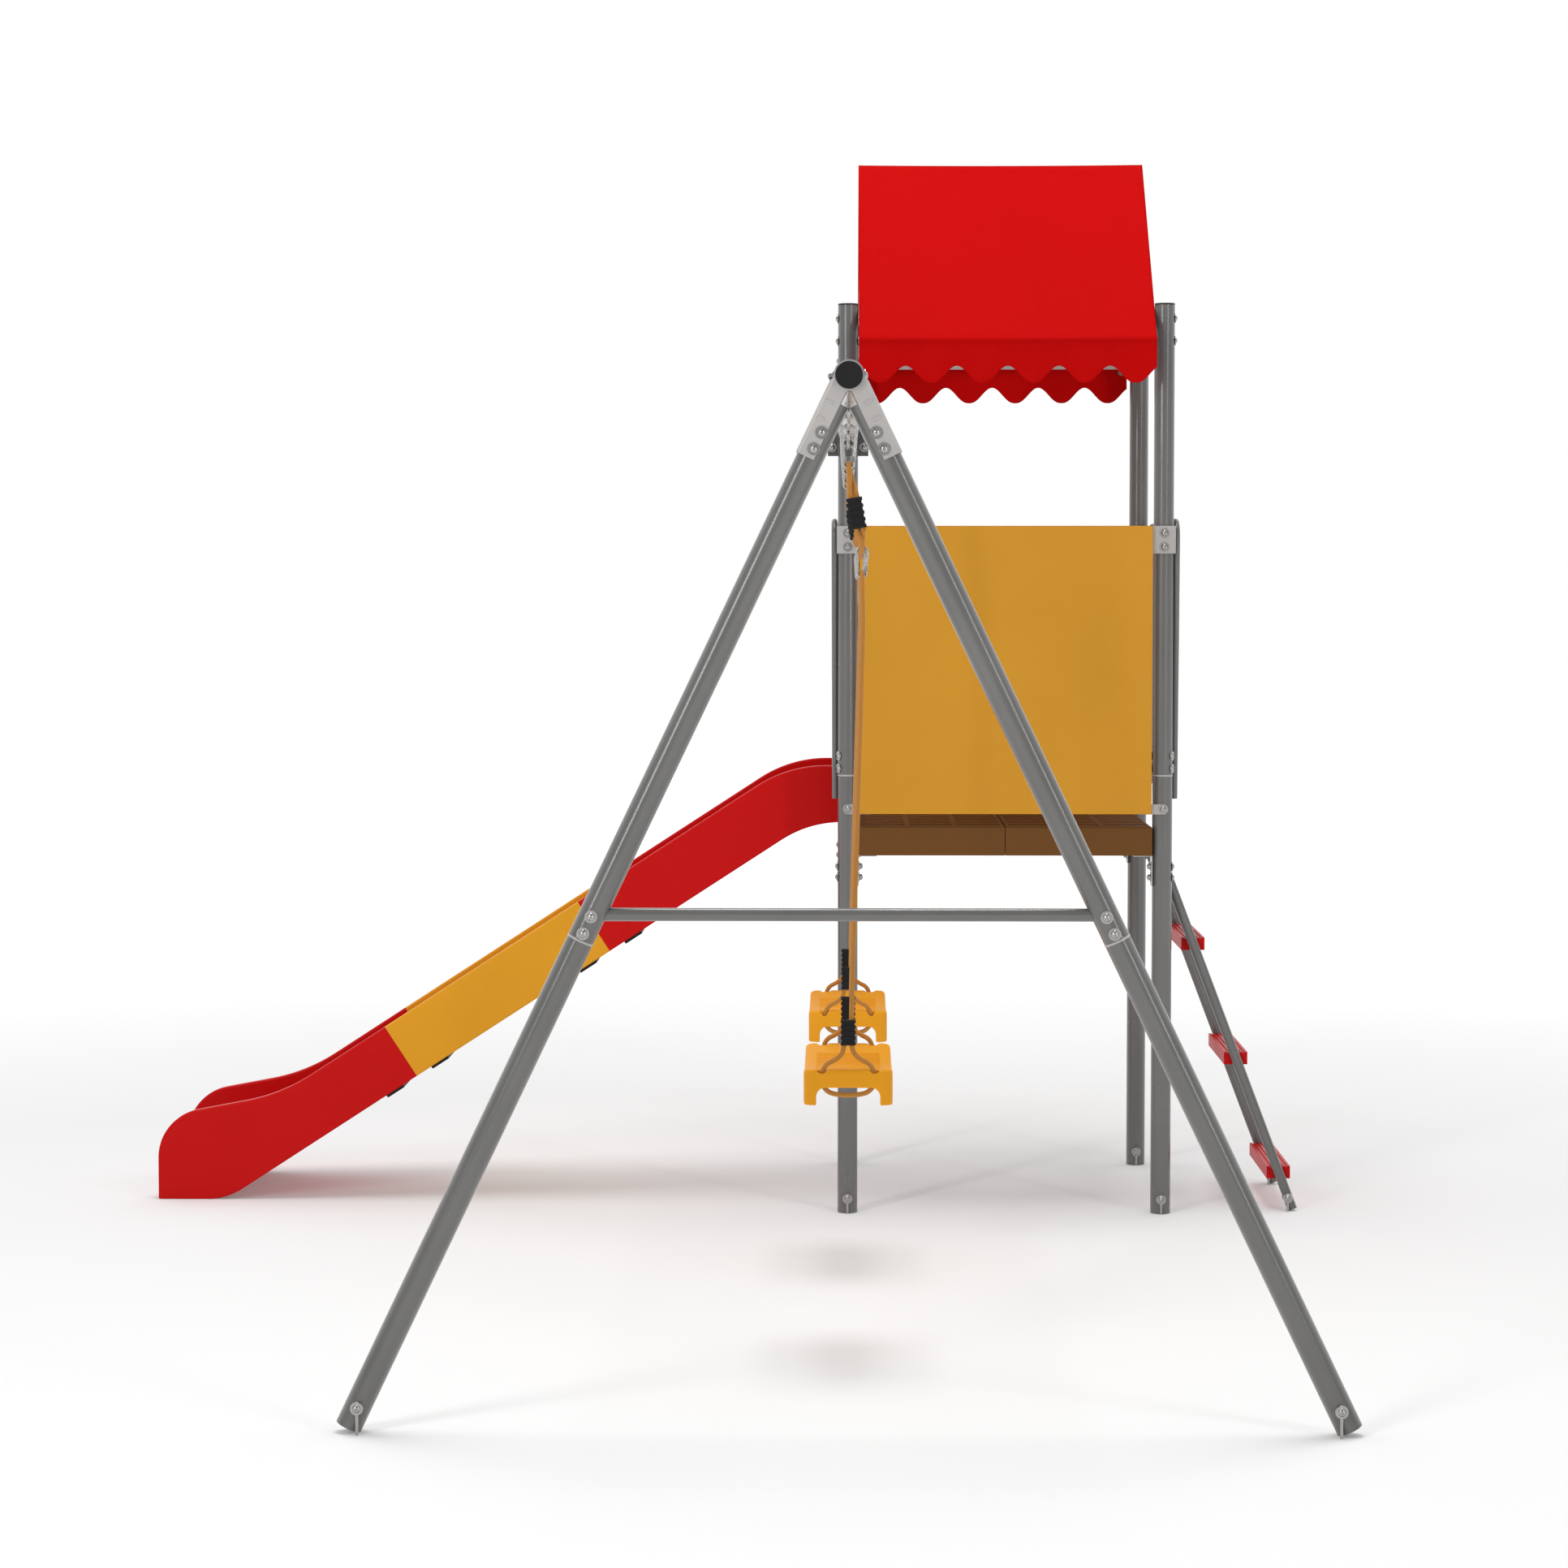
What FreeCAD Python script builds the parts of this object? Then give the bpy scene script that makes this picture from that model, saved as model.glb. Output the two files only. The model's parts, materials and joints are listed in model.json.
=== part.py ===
import FreeCAD, Part
import Sketcher
import math
import os
from FreeCAD import Placement, Rotation, Vector

# Garden play set: a swing bay with two seats, and a roofed tower with a slide and a ladder.
# Sketching frame, in millimetres: X = 0 is the middle of the tower, with the slide on -X and
# the ladder on +X, Y = 0 is the plane of the A-frame and the tower stands further along +Y,
# and Z = 0 is the ground. Each finished piece is then moved so that the origin is the middle
# of the set's footprint (see `origin_shift`).

SIZES = [
    # Tubes
    ("tube_diameter", 51.0, "main steel tube, outside"),
    ("tube_wall", 1.5, "wall of the main tube"),
    ("rail_diameter", 25.0, "light tube of ladder, roof and cross bar"),
    ("rail_wall", 1.2, "wall of the light tube"),
    ("swage_length", 90.0, "reduced end that slips into the next tube"),
    ("slip_gap", 0.3, "clearance all round between pieces that slip together"),
    ("cap_thickness", 4.0, "flange of a plastic tube cap"),
    ("cap_plug_length", 13.0, "plug of a plastic tube cap"),
    # Swing bay
    ("bay_length", 2479.0, "A-frame plane to the front posts"),
    ("beam_height", 1986.0, "axis of the swing beam"),
    ("beam_overhang", 36.0, "beam beyond the A-frame plane"),
    ("leg_spread", 949.0, "half spread of the A-frame at the ground"),
    ("leg_start", 55.0, "beam axis to the top of a leg"),
    ("leg_seam", 1166.0, "beam axis to the joint in a leg"),
    ("crossbar_height", 981.5, "axis of the A-frame's cross bar"),
    ("apex_arm_length", 170.0, "beam axis to the end of a bracket arm"),
    ("sheet_steel", 2.5, "thickness of the pressed brackets"),
    ("ring_steel", 3.0, "thickness of the bracket's ring round the beam"),
    ("socket_length", 62.0, "beam socket on the post bracket"),
    ("collar_height", 112.0, "post collar of the beam bracket"),
    # Tower
    ("tower_width", 800.0, "post to post along X"),
    ("tower_depth", 800.0, "post to post along Y"),
    ("post_height", 2310.0, "top of the posts"),
    ("post_seam", 1120.0, "height of the joint in the posts"),
    ("deck_top", 988.0, "height of the deck surface"),
    ("deck_thickness", 71.0, "depth of a deck module"),
    ("deck_wall", 5.0, "moulded wall of a deck module"),
    ("deck_gap", 1.5, "space between deck and posts, and between the modules"),
    ("panel_bottom", 1023.0, "lower edge of the panels"),
    ("panel_height", 730.0, "height of a panel"),
    ("panel_thickness", 12.0, "thickness of a panel"),
    ("panel_side_gap", 4.5, "panel edge to post"),
    ("hoop_diameter", 16.0, "tube of the entrance hoops"),
    ("hoop_height", 1765.0, "top bar of the entrance hoops"),
    ("hoop_foot", 1060.0, "lower end of the entrance hoops"),
    # Roof
    ("eave_height", 2217.0, "edge where roof and valance meet"),
    ("ridge_height", 2708.0, "top edge of the canopy"),
    ("eave_overhang", 100.0, "eave beyond the post axis"),
    ("valance_drop", 108.0, "depth of the valance at a lobe"),
    ("scallop_depth", 43.0, "notch between two lobes"),
    ("scallop_pitch", 128.0, "notch to notch"),
    ("fabric_thickness", 3.0, "canopy, with its folded hems"),
    # Slide
    ("slide_offset", 165.0, "front post axis to the slide's near wall"),
    ("slide_width", 470.0, "over both walls"),
    ("slide_wall_width", 28.0, "hollow side wall"),
    ("slide_skin", 5.0, "moulded skin of the slide"),
    ("slide_bed", 22.0, "bed above the lower edge, across the bed"),
    ("slide_depth", 153.0, "wall height across the slope"),
    ("slide_angle", 33.0, "slope in degrees"),
    ("slide_middle_length", 602.0, "middle section along the slope"),
    ("slide_reach", 1802.0, "front left post axis to the nose"),
    ("slide_seam_gap", 0.5, "joint between two sections"),
    # Ladder
    ("ladder_offset", 40.0, "front post axis to the near stringer"),
    ("ladder_width", 425.0, "stringer to stringer"),
    ("ladder_reach", 354.0, "front right post axis to the foot of a stringer"),
    ("ladder_rise", 942.0, "height of the stringers' upper fixing"),
    ("tread_depth", 60.0, "tread from front to back"),
    ("tread_thickness", 32.0, "depth of a tread"),
    ("tread_step", 294.5, "height from tread to tread"),
    ("lowest_tread", 112.5, "top of the lowest tread"),
    # Swings
    ("swing_first", 508.0, "A-frame plane to the first rope"),
    ("rope_spacing", 422.0, "rope to rope on one seat"),
    ("swing_pitch", 1040.0, "first seat to second seat"),
    ("rope_diameter", 10.0, "rope"),
    ("pivot_drop", 65.5, "beam axis to the swing pivot"),
    ("seat_top", 622.0, "height of the seat ends"),
    ("seat_length", 442.0, "seat along the beam"),
    ("seat_depth", 180.0, "seat across the beam"),
    ("seat_skin", 5.0, "moulded skin of a seat"),
    ("seat_apron", 36.0, "depth of the seat's edge"),
    ("seat_leg", 71.0, "depth of the seat's corners"),
    ("seat_hole_spacing", 107.0, "rope hole to rope hole on one seat end"),
    # Fasteners
    ("bolt_diameter", 8.0, "all bolts"),
    ("washer_diameter", 24.0, "washers under the bolt heads"),
    ("washer_thickness", 1.6, "washers"),
    ("head_height", 5.0, "domed bolt head"),
    ("nut_width", 13.0, "across the flats"),
    ("nut_height", 6.5, "lock nut"),
    ("bolt_clearance", 0.3, "clearance all round a bolt in its hole"),
    ("beam_bolt_reach", 15.0, "A-frame plane to each bolt through the beam"),
]

doc = FreeCAD.newDocument("play_set")
sheet = doc.addObject("Spreadsheet::Sheet", "Sizes")
for row, (alias, number, note) in enumerate(SIZES, start=1):
    sheet.set(f"A{row}", alias)
    sheet.set(f"B{row}", str(number))
    sheet.set(f"C{row}", note)
    sheet.setAlias(f"B{row}", alias)
doc.recompute()


def size(alias):
    """A driving dimension, read back from the sheet."""
    return float(sheet.get(alias))


# Values worked out from the driving dimensions.
tube_radius = size("tube_diameter") / 2
rail_radius = size("rail_diameter") / 2
half_width = size("tower_width") / 2
front_y = size("bay_length")
back_y = front_y + size("tower_depth")
beam_x = -half_width
post_inner_x = half_width - tube_radius
lean = math.atan2(size("leg_spread"), size("beam_height"))
y_low = -size("beam_overhang") - size("cap_thickness")
y_high = back_y + size("eave_overhang")
x_low = -half_width - size("slide_reach")
x_high = half_width + size("ladder_reach")
origin_shift = Vector(-(x_low + x_high) / 2, -(y_low + y_high) / 2, 0)

X_AXIS = Vector(1, 0, 0)
Y_AXIS = Vector(0, 1, 0)
Z_AXIS = Vector(0, 0, 1)

nodes = []
bolt_holes = []


# ---------------------------------------------------------------- building helpers

def bind(obj, **formulas):
    """Tie properties of an object to formulas on the sheet's cells."""
    for prop, formula in formulas.items():
        obj.setExpression(prop, formula)


def keep(obj, label, place=None):
    """Make an object a node of the model, at its place in the sketching frame."""
    obj.Label = label
    shift = Placement(origin_shift, Rotation())
    obj.Placement = shift.multiply(place) if place else shift
    nodes.append(obj)
    return obj


def keep_shape(shape, label):
    """A node whose shape is made here from the sheet's values."""
    place = shape.Placement
    obj = doc.addObject("Part::Feature", label)
    obj.Shape = shape
    return keep(obj, label, place)


def along(start, end):
    """Placement that turns +Z onto the line from start to end, with its origin at start."""
    return Placement(start, Rotation(Z_AXIS, end - start))


def cylinder_object(name, radius, height, offset="0"):
    """Part::Cylinder along Z whose sizes are formulas."""
    obj = doc.addObject("Part::Cylinder", name)
    bind(obj, Radius=radius, Height=height)
    obj.setExpression("Placement.Base.z", offset)
    return obj


def tube(label, place, length, outer="Sizes.tube_diameter / 2", wall="Sizes.tube_wall", swage=False):
    """Steel tube along Z. A swaged tube has a reduced end that slips into the next tube."""
    skin = cylinder_object(label + "_skin", outer, length)
    bore = cylinder_object(label + "_bore", f"{outer} - {wall}", f"{length} - {wall}" if swage else length)
    if swage:
        neck_radius = f"{outer} - {wall} - Sizes.slip_gap"
        neck = cylinder_object(label + "_neck", neck_radius, f"{length} + Sizes.swage_length")
        fused = doc.addObject("Part::Fuse", label + "_whole")
        fused.Base = skin
        fused.Tool = neck
        skin = fused
        neck_bore = cylinder_object(label + "_neck_bore", f"{neck_radius} - {wall}",
                                    f"{length} + Sizes.swage_length")
        both_bores = doc.addObject("Part::Fuse", label + "_bores")
        both_bores.Base = bore
        both_bores.Tool = neck_bore
        bore = both_bores
    cut = doc.addObject("Part::Cut", label)
    cut.Base = skin
    cut.Tool = bore
    return keep(cut, label, place)


def cylinder(start, direction, radius, length):
    return Part.makeCylinder(radius, length, start, direction)


def ring(center, axis, outer, inner, length):
    """Plain ring, centred on its length."""
    foot = center - axis * (length / 2)
    return cylinder(foot, axis, outer, length).cut(cylinder(foot, axis, inner, length))


def box(low, high):
    span = high - low
    return Part.makeBox(span.x, span.y, span.z, low)


def prism(points, direction):
    """Flat outline, given as a list of points, pushed along a direction."""
    return Part.Face(Part.makePolygon(points + [points[0]])).extrude(direction)


def rounded_path(points, radii=None, share=0.45, closed=False):
    """Wire of straight runs joined by tangent arcs, and the radii of the arcs."""
    edges = []
    used = []
    count = len(points)
    cuts = {}
    for k in range(count) if closed else range(1, count - 1):
        before = points[k - 1] - points[k]
        after = points[(k + 1) % count] - points[k]
        half_turn = (math.pi - before.getAngle(after)) / 2
        radius = share * min(before.Length, after.Length) / math.tan(half_turn)
        if radii and k in radii:
            radius = radii[k]
        reach = radius * math.tan(half_turn)
        enter = points[k] + before.normalize() * reach
        leave = points[k] + after.normalize() * reach
        middle_way = (before + after).normalize()
        middle = points[k] + middle_way * (radius / math.cos(half_turn) - radius)
        cuts[k] = (enter, middle, leave)
        used.append(radius)
    last = points[0] if not closed else cuts[0][2]
    for k in range(1, count + 1 if closed else count):
        k = k % count
        if k in cuts:
            enter, middle, leave = cuts[k]
            if (enter - last).Length > 1e-6:
                edges.append(Part.LineSegment(last, enter).toShape())
            edges.append(Part.Arc(enter, middle, leave).toShape())
            last = leave
        else:
            edges.append(Part.LineSegment(last, points[k]).toShape())
    return Part.Wire(edges), used


def sweep(path, points, radius):
    """Round bar along the wire that runs through a route's points."""
    section = Part.Wire(Part.makeCircle(radius, points[0], points[1] - points[0]))
    return path.makePipeShell([section], True, False, 0)


def bent_bar(points, radius, bend, closed=False):
    """Bar with one bend radius at every corner."""
    radii = {k: bend for k in range(len(points))}
    return sweep(rounded_path(points, radii, closed=closed)[0], points, radius)


def bent_tube(points, outer, wall, bend):
    return bent_bar(points, outer, bend).cut(bent_bar(points, outer - wall, bend))


def hexagon(center, axis, width, height):
    """Hexagonal nut body standing on its centre."""
    turn = Rotation(Z_AXIS, axis)
    corner = width / math.sqrt(3)
    points = []
    for k in range(6):
        spot = Vector(corner * math.cos(math.pi * k / 3), corner * math.sin(math.pi * k / 3), 0)
        points.append(center + turn.multVec(spot))
    return prism(points, axis * height)


def need_hole(start, axis, length):
    """Note a bolt hole, to be drilled through every node on its way."""
    radius = size("bolt_diameter") / 2 + size("bolt_clearance")
    bolt_holes.append(cylinder(start + origin_shift, axis, radius, length))


def drill(node, holes):
    """The node with the holes that cross it cut out, under the same label."""
    crossing = [hole for hole in holes if hole.common(node.Shape).Volume > 0.001]
    if not crossing:
        return node
    label = node.Label
    node.Label = label + "_undrilled"
    tool = doc.addObject("Part::Feature", label + "_holes")
    tool.Shape = Part.makeCompound(crossing)
    cut = doc.addObject("Part::Cut", label + "_drilled")
    cut.Base = node
    cut.Tool = tool
    cut.Label = label
    return cut


def bolt(seat, inward, grip):
    """Domed bolt with its washer, pushed in from seat, and its lock nut on the far side."""
    axis = inward / inward.Length
    out = axis * -1
    radius = size("bolt_diameter") / 2
    need_hole(seat, axis, grip)
    washer = size("washer_thickness")
    head = size("head_height")
    shank = cylinder(seat + out * washer, axis, radius, grip + 2 * washer + size("nut_height") + 2)
    disc = cylinder(seat, out, size("washer_diameter") / 2, washer)
    dome_radius = size("washer_diameter") * 0.34
    ball_radius = (dome_radius ** 2 + head ** 2) / (2 * head)
    ball = Part.makeSphere(ball_radius, seat + out * (washer + head - ball_radius))
    dome = ball.common(cylinder(seat + out * washer, out, dome_radius, head + 1))
    socket = hexagon(seat + out * (washer + head), axis, 5.0, 2.6)
    far_disc = cylinder(seat + axis * grip, axis, size("washer_diameter") / 2, washer)
    nut = hexagon(seat + axis * (grip + washer), axis, size("nut_width"), size("nut_height"))
    return shank.multiFuse([disc, dome, far_disc, nut]).cut(socket)


def plane_of(body, role):
    for feature in body.Origin.OriginFeatures:
        if feature.Role == role:
            return feature


def rectangle_sketch(body, role, name, low_x, low_y, width, height):
    """Sketch of one rectangle whose place and sides are formulas."""
    sketch = body.newObject("Sketcher::SketchObject", name)
    sketch.AttachmentSupport = [(plane_of(body, role), "")]
    sketch.MapMode = "FlatFace"
    corners = [Vector(10, 10, 0), Vector(40, 10, 0), Vector(40, 30, 0), Vector(10, 30, 0)]
    for k in range(4):
        sketch.addGeometry(Part.LineSegment(corners[k], corners[(k + 1) % 4]))
    for k in range(4):
        sketch.addConstraint(Sketcher.Constraint("Coincident", k, 2, (k + 1) % 4, 1))
    for k, kind in enumerate(["Horizontal", "Vertical", "Horizontal", "Vertical"]):
        sketch.addConstraint(Sketcher.Constraint(kind, k))
    named = [
        ("low_x", Sketcher.Constraint("DistanceX", -1, 1, 0, 1, 10.0), low_x),
        ("low_y", Sketcher.Constraint("DistanceY", -1, 1, 0, 1, 10.0), low_y),
        ("width", Sketcher.Constraint("DistanceX", 0, 1, 0, 2, 30.0), width),
        ("height", Sketcher.Constraint("DistanceY", 1, 1, 1, 2, 20.0), height),
    ]
    for name, constraint, formula in named:
        index = sketch.addConstraint(constraint)
        sketch.renameConstraint(index, name)
        sketch.setExpression("Constraints." + name, formula)
    return sketch


def extrude_sketch(body, kind, sketch, name, length, backwards=False):
    """Pad or pocket of a sketch, with its length as a formula."""
    feature = body.newObject("PartDesign::" + kind, name)
    feature.Profile = sketch
    feature.Reversed = backwards
    bind(feature, Length=length)
    doc.recompute()
    return feature


def slab_body(label, width, depth, height):
    """Body that starts as a plain block with one corner at its own origin."""
    body = doc.addObject("PartDesign::Body", label)
    outline = rectangle_sketch(body, "XY_Plane", label + "_outline", "0", "0", width, depth)
    extrude_sketch(body, "Pad", outline, label + "_block", height)
    return body


# ---------------------------------------------------------------- swing frame

APEX = Vector(beam_x, 0, size("beam_height"))
foot_lift = tube_radius * math.sin(lean)
leg_length = (size("beam_height") - foot_lift) / math.cos(lean)
half_angle = "atan2(Sizes.leg_spread; Sizes.beam_height)"


def leg_axis(side):
    """Unit vector from the apex down a leg. The side is -1 on the slide's side, +1 on the other."""
    return Vector(side * math.sin(lean), 0, -math.cos(lean))


def build_swing_frame():
    upper_length = "Sizes.leg_seam - Sizes.leg_start"
    leg_formula = (f"(Sizes.beam_height - Sizes.tube_diameter / 2 * sin({half_angle}))"
                   f" / cos({half_angle}) - Sizes.leg_seam")
    for side, name in ((-1, "left"), (1, "right")):
        axis = leg_axis(side)
        seam = APEX + axis * size("leg_seam")
        start = APEX + axis * size("leg_start")
        tube("a_leg_upper_" + name, along(start, seam), upper_length)
        foot = APEX + axis * leg_length
        tube("a_leg_lower_" + name, along(foot, seam), leg_formula, swage=True)
    tube("swing_beam", along(Vector(beam_x, -size("beam_overhang"), size("beam_height")),
                             Vector(beam_x, front_y, size("beam_height"))),
         "Sizes.beam_overhang + Sizes.bay_length - Sizes.tube_diameter / 2 - Sizes.slip_gap")


def build_crossbar():
    """Cross bar between the legs, its ends cut to the legs' round sides."""
    height = size("crossbar_height")
    reach = (size("beam_height") - height) * math.tan(lean)
    start = Vector(beam_x - reach, 0, height)
    bar = cylinder(start, X_AXIS, rail_radius, 2 * reach)
    bar = bar.cut(cylinder(start, X_AXIS, rail_radius - size("rail_wall"), 2 * reach))
    for side in (-1, 1):
        clear = tube_radius + size("slip_gap")
        bar = bar.cut(cylinder(APEX, leg_axis(side), clear, leg_length))
    middle = Vector(beam_x, 0, height)
    pieces = sorted(bar.Solids, key=lambda solid: (solid.CenterOfMass - middle).Length)
    keep_shape(pieces[0], "a_frame_crossbar")


def apex_arm(side):
    """Channel round a leg's upper end, open on its inner side, with two pressed beads."""
    inner = tube_radius + size("slip_gap")
    outer = inner + size("sheet_steel")
    length = size("apex_arm_length")
    shell = box(Vector(-outer, -outer, 0), Vector(outer, outer, length))
    shell = shell.makeFillet(8.0, [edge for edge in shell.Edges if edge.Length > length - 1])
    room = box(Vector(-inner, -inner, -1), Vector(inner, inner, length + 1))
    room = room.makeFillet(6.0, [edge for edge in room.Edges if edge.Length > length + 1])
    arm = shell.cut(room)
    outward = -side
    opening = sorted((-outward * outer * 0.3, -outward * (outer + 1)))
    arm = arm.cut(box(Vector(opening[0], -outer - 1, -1), Vector(opening[1], outer + 1, length + 1)))
    for height in (58.0, 92.0):
        ends = sorted((outward * outer * 0.15, outward * (outer - 8)))
        arm = arm.fuse(box(Vector(ends[0], -outer - 1.6, height), Vector(ends[1], -inner - 1, height + 5)))
    arm.Placement = along(APEX, APEX + leg_axis(side))
    return arm


def build_apex_bracket():
    """Ring round the beam with one arm for each leg."""
    inner = tube_radius + size("slip_gap")
    outer = inner + size("ring_steel")
    arms = apex_arm(-1).fuse(apex_arm(1))
    arms = arms.cut(cylinder(APEX - Y_AXIS * 100, Y_AXIS, (inner + outer) / 2, 200))
    for side in (-1, 1):
        start = APEX + leg_axis(side) * (size("leg_start") - size("slip_gap"))
        arms = arms.cut(cylinder(start, leg_axis(side), inner - 0.1, 300))
    for side in (-1, 1):
        for y in (-size("beam_bolt_reach"), size("beam_bolt_reach")):
            seat = APEX + Vector(side * (outer - 0.4), y, 0)
            arms = arms.cut(cylinder(seat, X_AXIS * side, size("washer_diameter") / 2 + 0.6, 40))
    band = ring(APEX, Y_AXIS, outer, inner, 2 * outer + 4)
    keep_shape(arms.fuse(band), "apex_bracket")


def build_beam_bracket():
    """Socket for the beam on a collar round the front left post, and the collar's back half."""
    gap = size("slip_gap")
    steel = size("sheet_steel") + 1.0
    inner = tube_radius + gap
    outer = inner + steel
    post = Vector(beam_x, front_y, size("beam_height"))
    foot = post - Z_AXIS * (size("collar_height") / 2)
    collar = cylinder(foot, Z_AXIS, outer, size("collar_height"))
    ears = box(Vector(beam_x - outer - 22, front_y - 4.5, foot.z),
               Vector(beam_x + outer + 22, front_y - 0.5, foot.z + size("collar_height")))
    front_half = box(Vector(beam_x - 90, front_y - 90, foot.z - 1),
                     Vector(beam_x + 90, front_y - 0.5, foot.z + size("collar_height") + 1))
    bore = cylinder(foot - Z_AXIS, Z_AXIS, inner, size("collar_height") + 2)
    reach = size("socket_length") + tube_radius
    socket = cylinder(post, Y_AXIS * -1, outer, reach)
    front = collar.common(front_half).fuse([ears, socket]).cut(bore)
    front = front.cut(cylinder(post, Y_AXIS * -1, inner, reach + 1))
    keep_shape(front, "beam_bracket_front")
    back_half = box(Vector(beam_x - 90, front_y + 0.5, foot.z - 1),
                    Vector(beam_x + 90, front_y + 90, foot.z + size("collar_height") + 1))
    back_ears = ears.translated(Y_AXIS * 5.0)
    back = collar.common(back_half).fuse(back_ears).cut(bore)
    keep_shape(back, "beam_bracket_back")


# ---------------------------------------------------------------- tower

def post_spots():
    """The four posts: name, X and Y."""
    return [
        ("front_left", -half_width, front_y),
        ("front_right", half_width, front_y),
        ("back_left", -half_width, back_y),
        ("back_right", half_width, back_y),
    ]


def build_posts():
    for name, x, y in post_spots():
        foot = Placement(Vector(x, y, 0), Rotation())
        seam = Placement(Vector(x, y, size("post_seam")), Rotation())
        tube("post_lower_" + name, foot, "Sizes.post_seam", swage=True)
        tube("post_upper_" + name, seam, "Sizes.post_height - Sizes.post_seam")


def build_caps():
    """Plastic caps of the four posts and the free end of the beam."""
    plug = tube_radius - size("tube_wall") - size("slip_gap")
    caps = []
    ends = [(Vector(x, y, size("post_height")), Z_AXIS) for name, x, y in post_spots()]
    ends.append((Vector(beam_x, -size("beam_overhang"), size("beam_height")), Y_AXIS * -1))
    for end, out in ends:
        flange = cylinder(end, out, tube_radius, size("cap_thickness"))
        flange = flange.makeFillet(1.2, [flange.Edges[0]])
        deep = size("cap_plug_length")
        caps.append(flange.fuse(cylinder(end - out * deep, out, plug, deep)))
    keep_shape(Part.makeCompound(caps), "tube_caps")


def build_deck():
    """Two moulded modules side by side, hollow below, with ribs and recesses."""
    width = "Sizes.tower_width / 2 - Sizes.tube_diameter / 2 - 1.5 * Sizes.deck_gap"
    depth = "Sizes.tower_depth + Sizes.tube_diameter"
    low_y = front_y - tube_radius
    left_x = -post_inner_x + size("deck_gap")
    for name, x in (("left", left_x), ("right", size("deck_gap") / 2)):
        label = "deck_module_" + name
        body = slab_body(label, width, depth, "Sizes.deck_thickness")
        bay_width = f"({width} - 3 * Sizes.deck_wall) / 2"
        bay_depth = f"({depth} - 5 * Sizes.deck_wall) / 4"
        for column in range(2):
            for place in range(4):
                tag = f"{label}_bay_{column}_{place}"
                bay_x = f"Sizes.deck_wall + {column} * ({bay_width} + Sizes.deck_wall)"
                bay_y = f"Sizes.deck_wall + {place} * ({bay_depth} + Sizes.deck_wall)"
                outline = rectangle_sketch(body, "XY_Plane", tag, bay_x, bay_y, bay_width, bay_depth)
                extrude_sketch(body, "Pocket", outline, tag + "_hollow",
                               "Sizes.deck_thickness - 2 * Sizes.deck_wall", backwards=True)
        corner = Vector(x, low_y, size("deck_top") - size("deck_thickness"))
        keep(body, label, Placement(corner, Rotation()))


def build_panels():
    """Flat panels that close the front and back of the deck."""
    width = "Sizes.tower_width - Sizes.tube_diameter - 2 * Sizes.panel_side_gap"
    half_panel = post_inner_x - size("panel_side_gap")
    plate = size("sheet_steel")
    near = front_y - tube_radius - plate - size("panel_thickness")
    far = back_y + tube_radius + plate
    for label, y in (("panel_front", near), ("panel_back", far)):
        body = slab_body(label, width, "Sizes.panel_thickness", "Sizes.panel_height")
        block = body.Tip
        fillet = body.newObject("PartDesign::Fillet", label + "_round")
        fillet.Base = (block, [f"Edge{k + 1}" for k in range(len(block.Shape.Edges))])
        bind(fillet, Radius="Sizes.panel_thickness / 4")
        keep(body, label, Placement(Vector(-half_panel, y, size("panel_bottom")), Rotation()))


def panel_plate(side, y, outward):
    """Upper angle plate and lower tab that fasten a panel to one post."""
    plate = size("sheet_steel")
    post_x = side * half_width
    inner = side * (post_inner_x - size("panel_side_gap") - 28)
    outer_face = side * (half_width + tube_radius + size("slip_gap"))
    face = y + outward * (tube_radius + size("slip_gap"))
    top = size("panel_bottom") + size("panel_height")
    low_face, high_face = sorted((face, y + outward * (tube_radius + plate)))
    flat_low = sorted((inner, outer_face + side * plate))
    flat = box(Vector(flat_low[0], low_face, top - 70), Vector(flat_low[1], high_face, top))
    wrap_x = sorted((outer_face, outer_face + side * plate))
    wrap_y = sorted((high_face if outward > 0 else low_face, y + outward * 10))
    wrap = box(Vector(wrap_x[0], wrap_y[0], top - 70), Vector(wrap_x[1], wrap_y[1], top))
    tab_z = size("panel_bottom") + 12
    tab_x = sorted((inner, post_x))
    tab = box(Vector(tab_x[0], low_face, tab_z - 13), Vector(tab_x[1], high_face, tab_z + 13))
    round_end = cylinder(Vector(post_x, low_face, tab_z), Y_AXIS, 13, high_face - low_face)
    return [flat.fuse(wrap), tab.fuse(round_end)]


def deck_bracket(side, y):
    """Angle bracket that carries one deck corner on the inner side of its post."""
    plate = size("sheet_steel")
    top = size("deck_top") - size("deck_thickness") - size("slip_gap")
    face = post_inner_x - size("slip_gap")
    wall = sorted((side * face, side * (face - plate)))
    upright = box(Vector(wall[0], y - 22, top - 78), Vector(wall[1], y + 22, top))
    low_corners = [e for e in upright.Edges if e.Length < plate + 0.1 and e.CenterOfMass.z < top - 1]
    upright = upright.makeFillet(7.0, low_corners)
    shelf_x = sorted((wall[0] if side > 0 else wall[1], side * (post_inner_x - 48)))
    shelf = box(Vector(shelf_x[0], y - 22, top - plate), Vector(shelf_x[1], y + 22, top))
    return upright.fuse(shelf)


def build_tower_brackets():
    plates = []
    for name, x, y in post_spots():
        side = math.copysign(1, x)
        outward = -1 if y == front_y else 1
        plates += panel_plate(side, y, outward)
        plates.append(deck_bracket(side, y))
    keep_shape(Part.makeCompound(plates), "tower_brackets")


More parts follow.
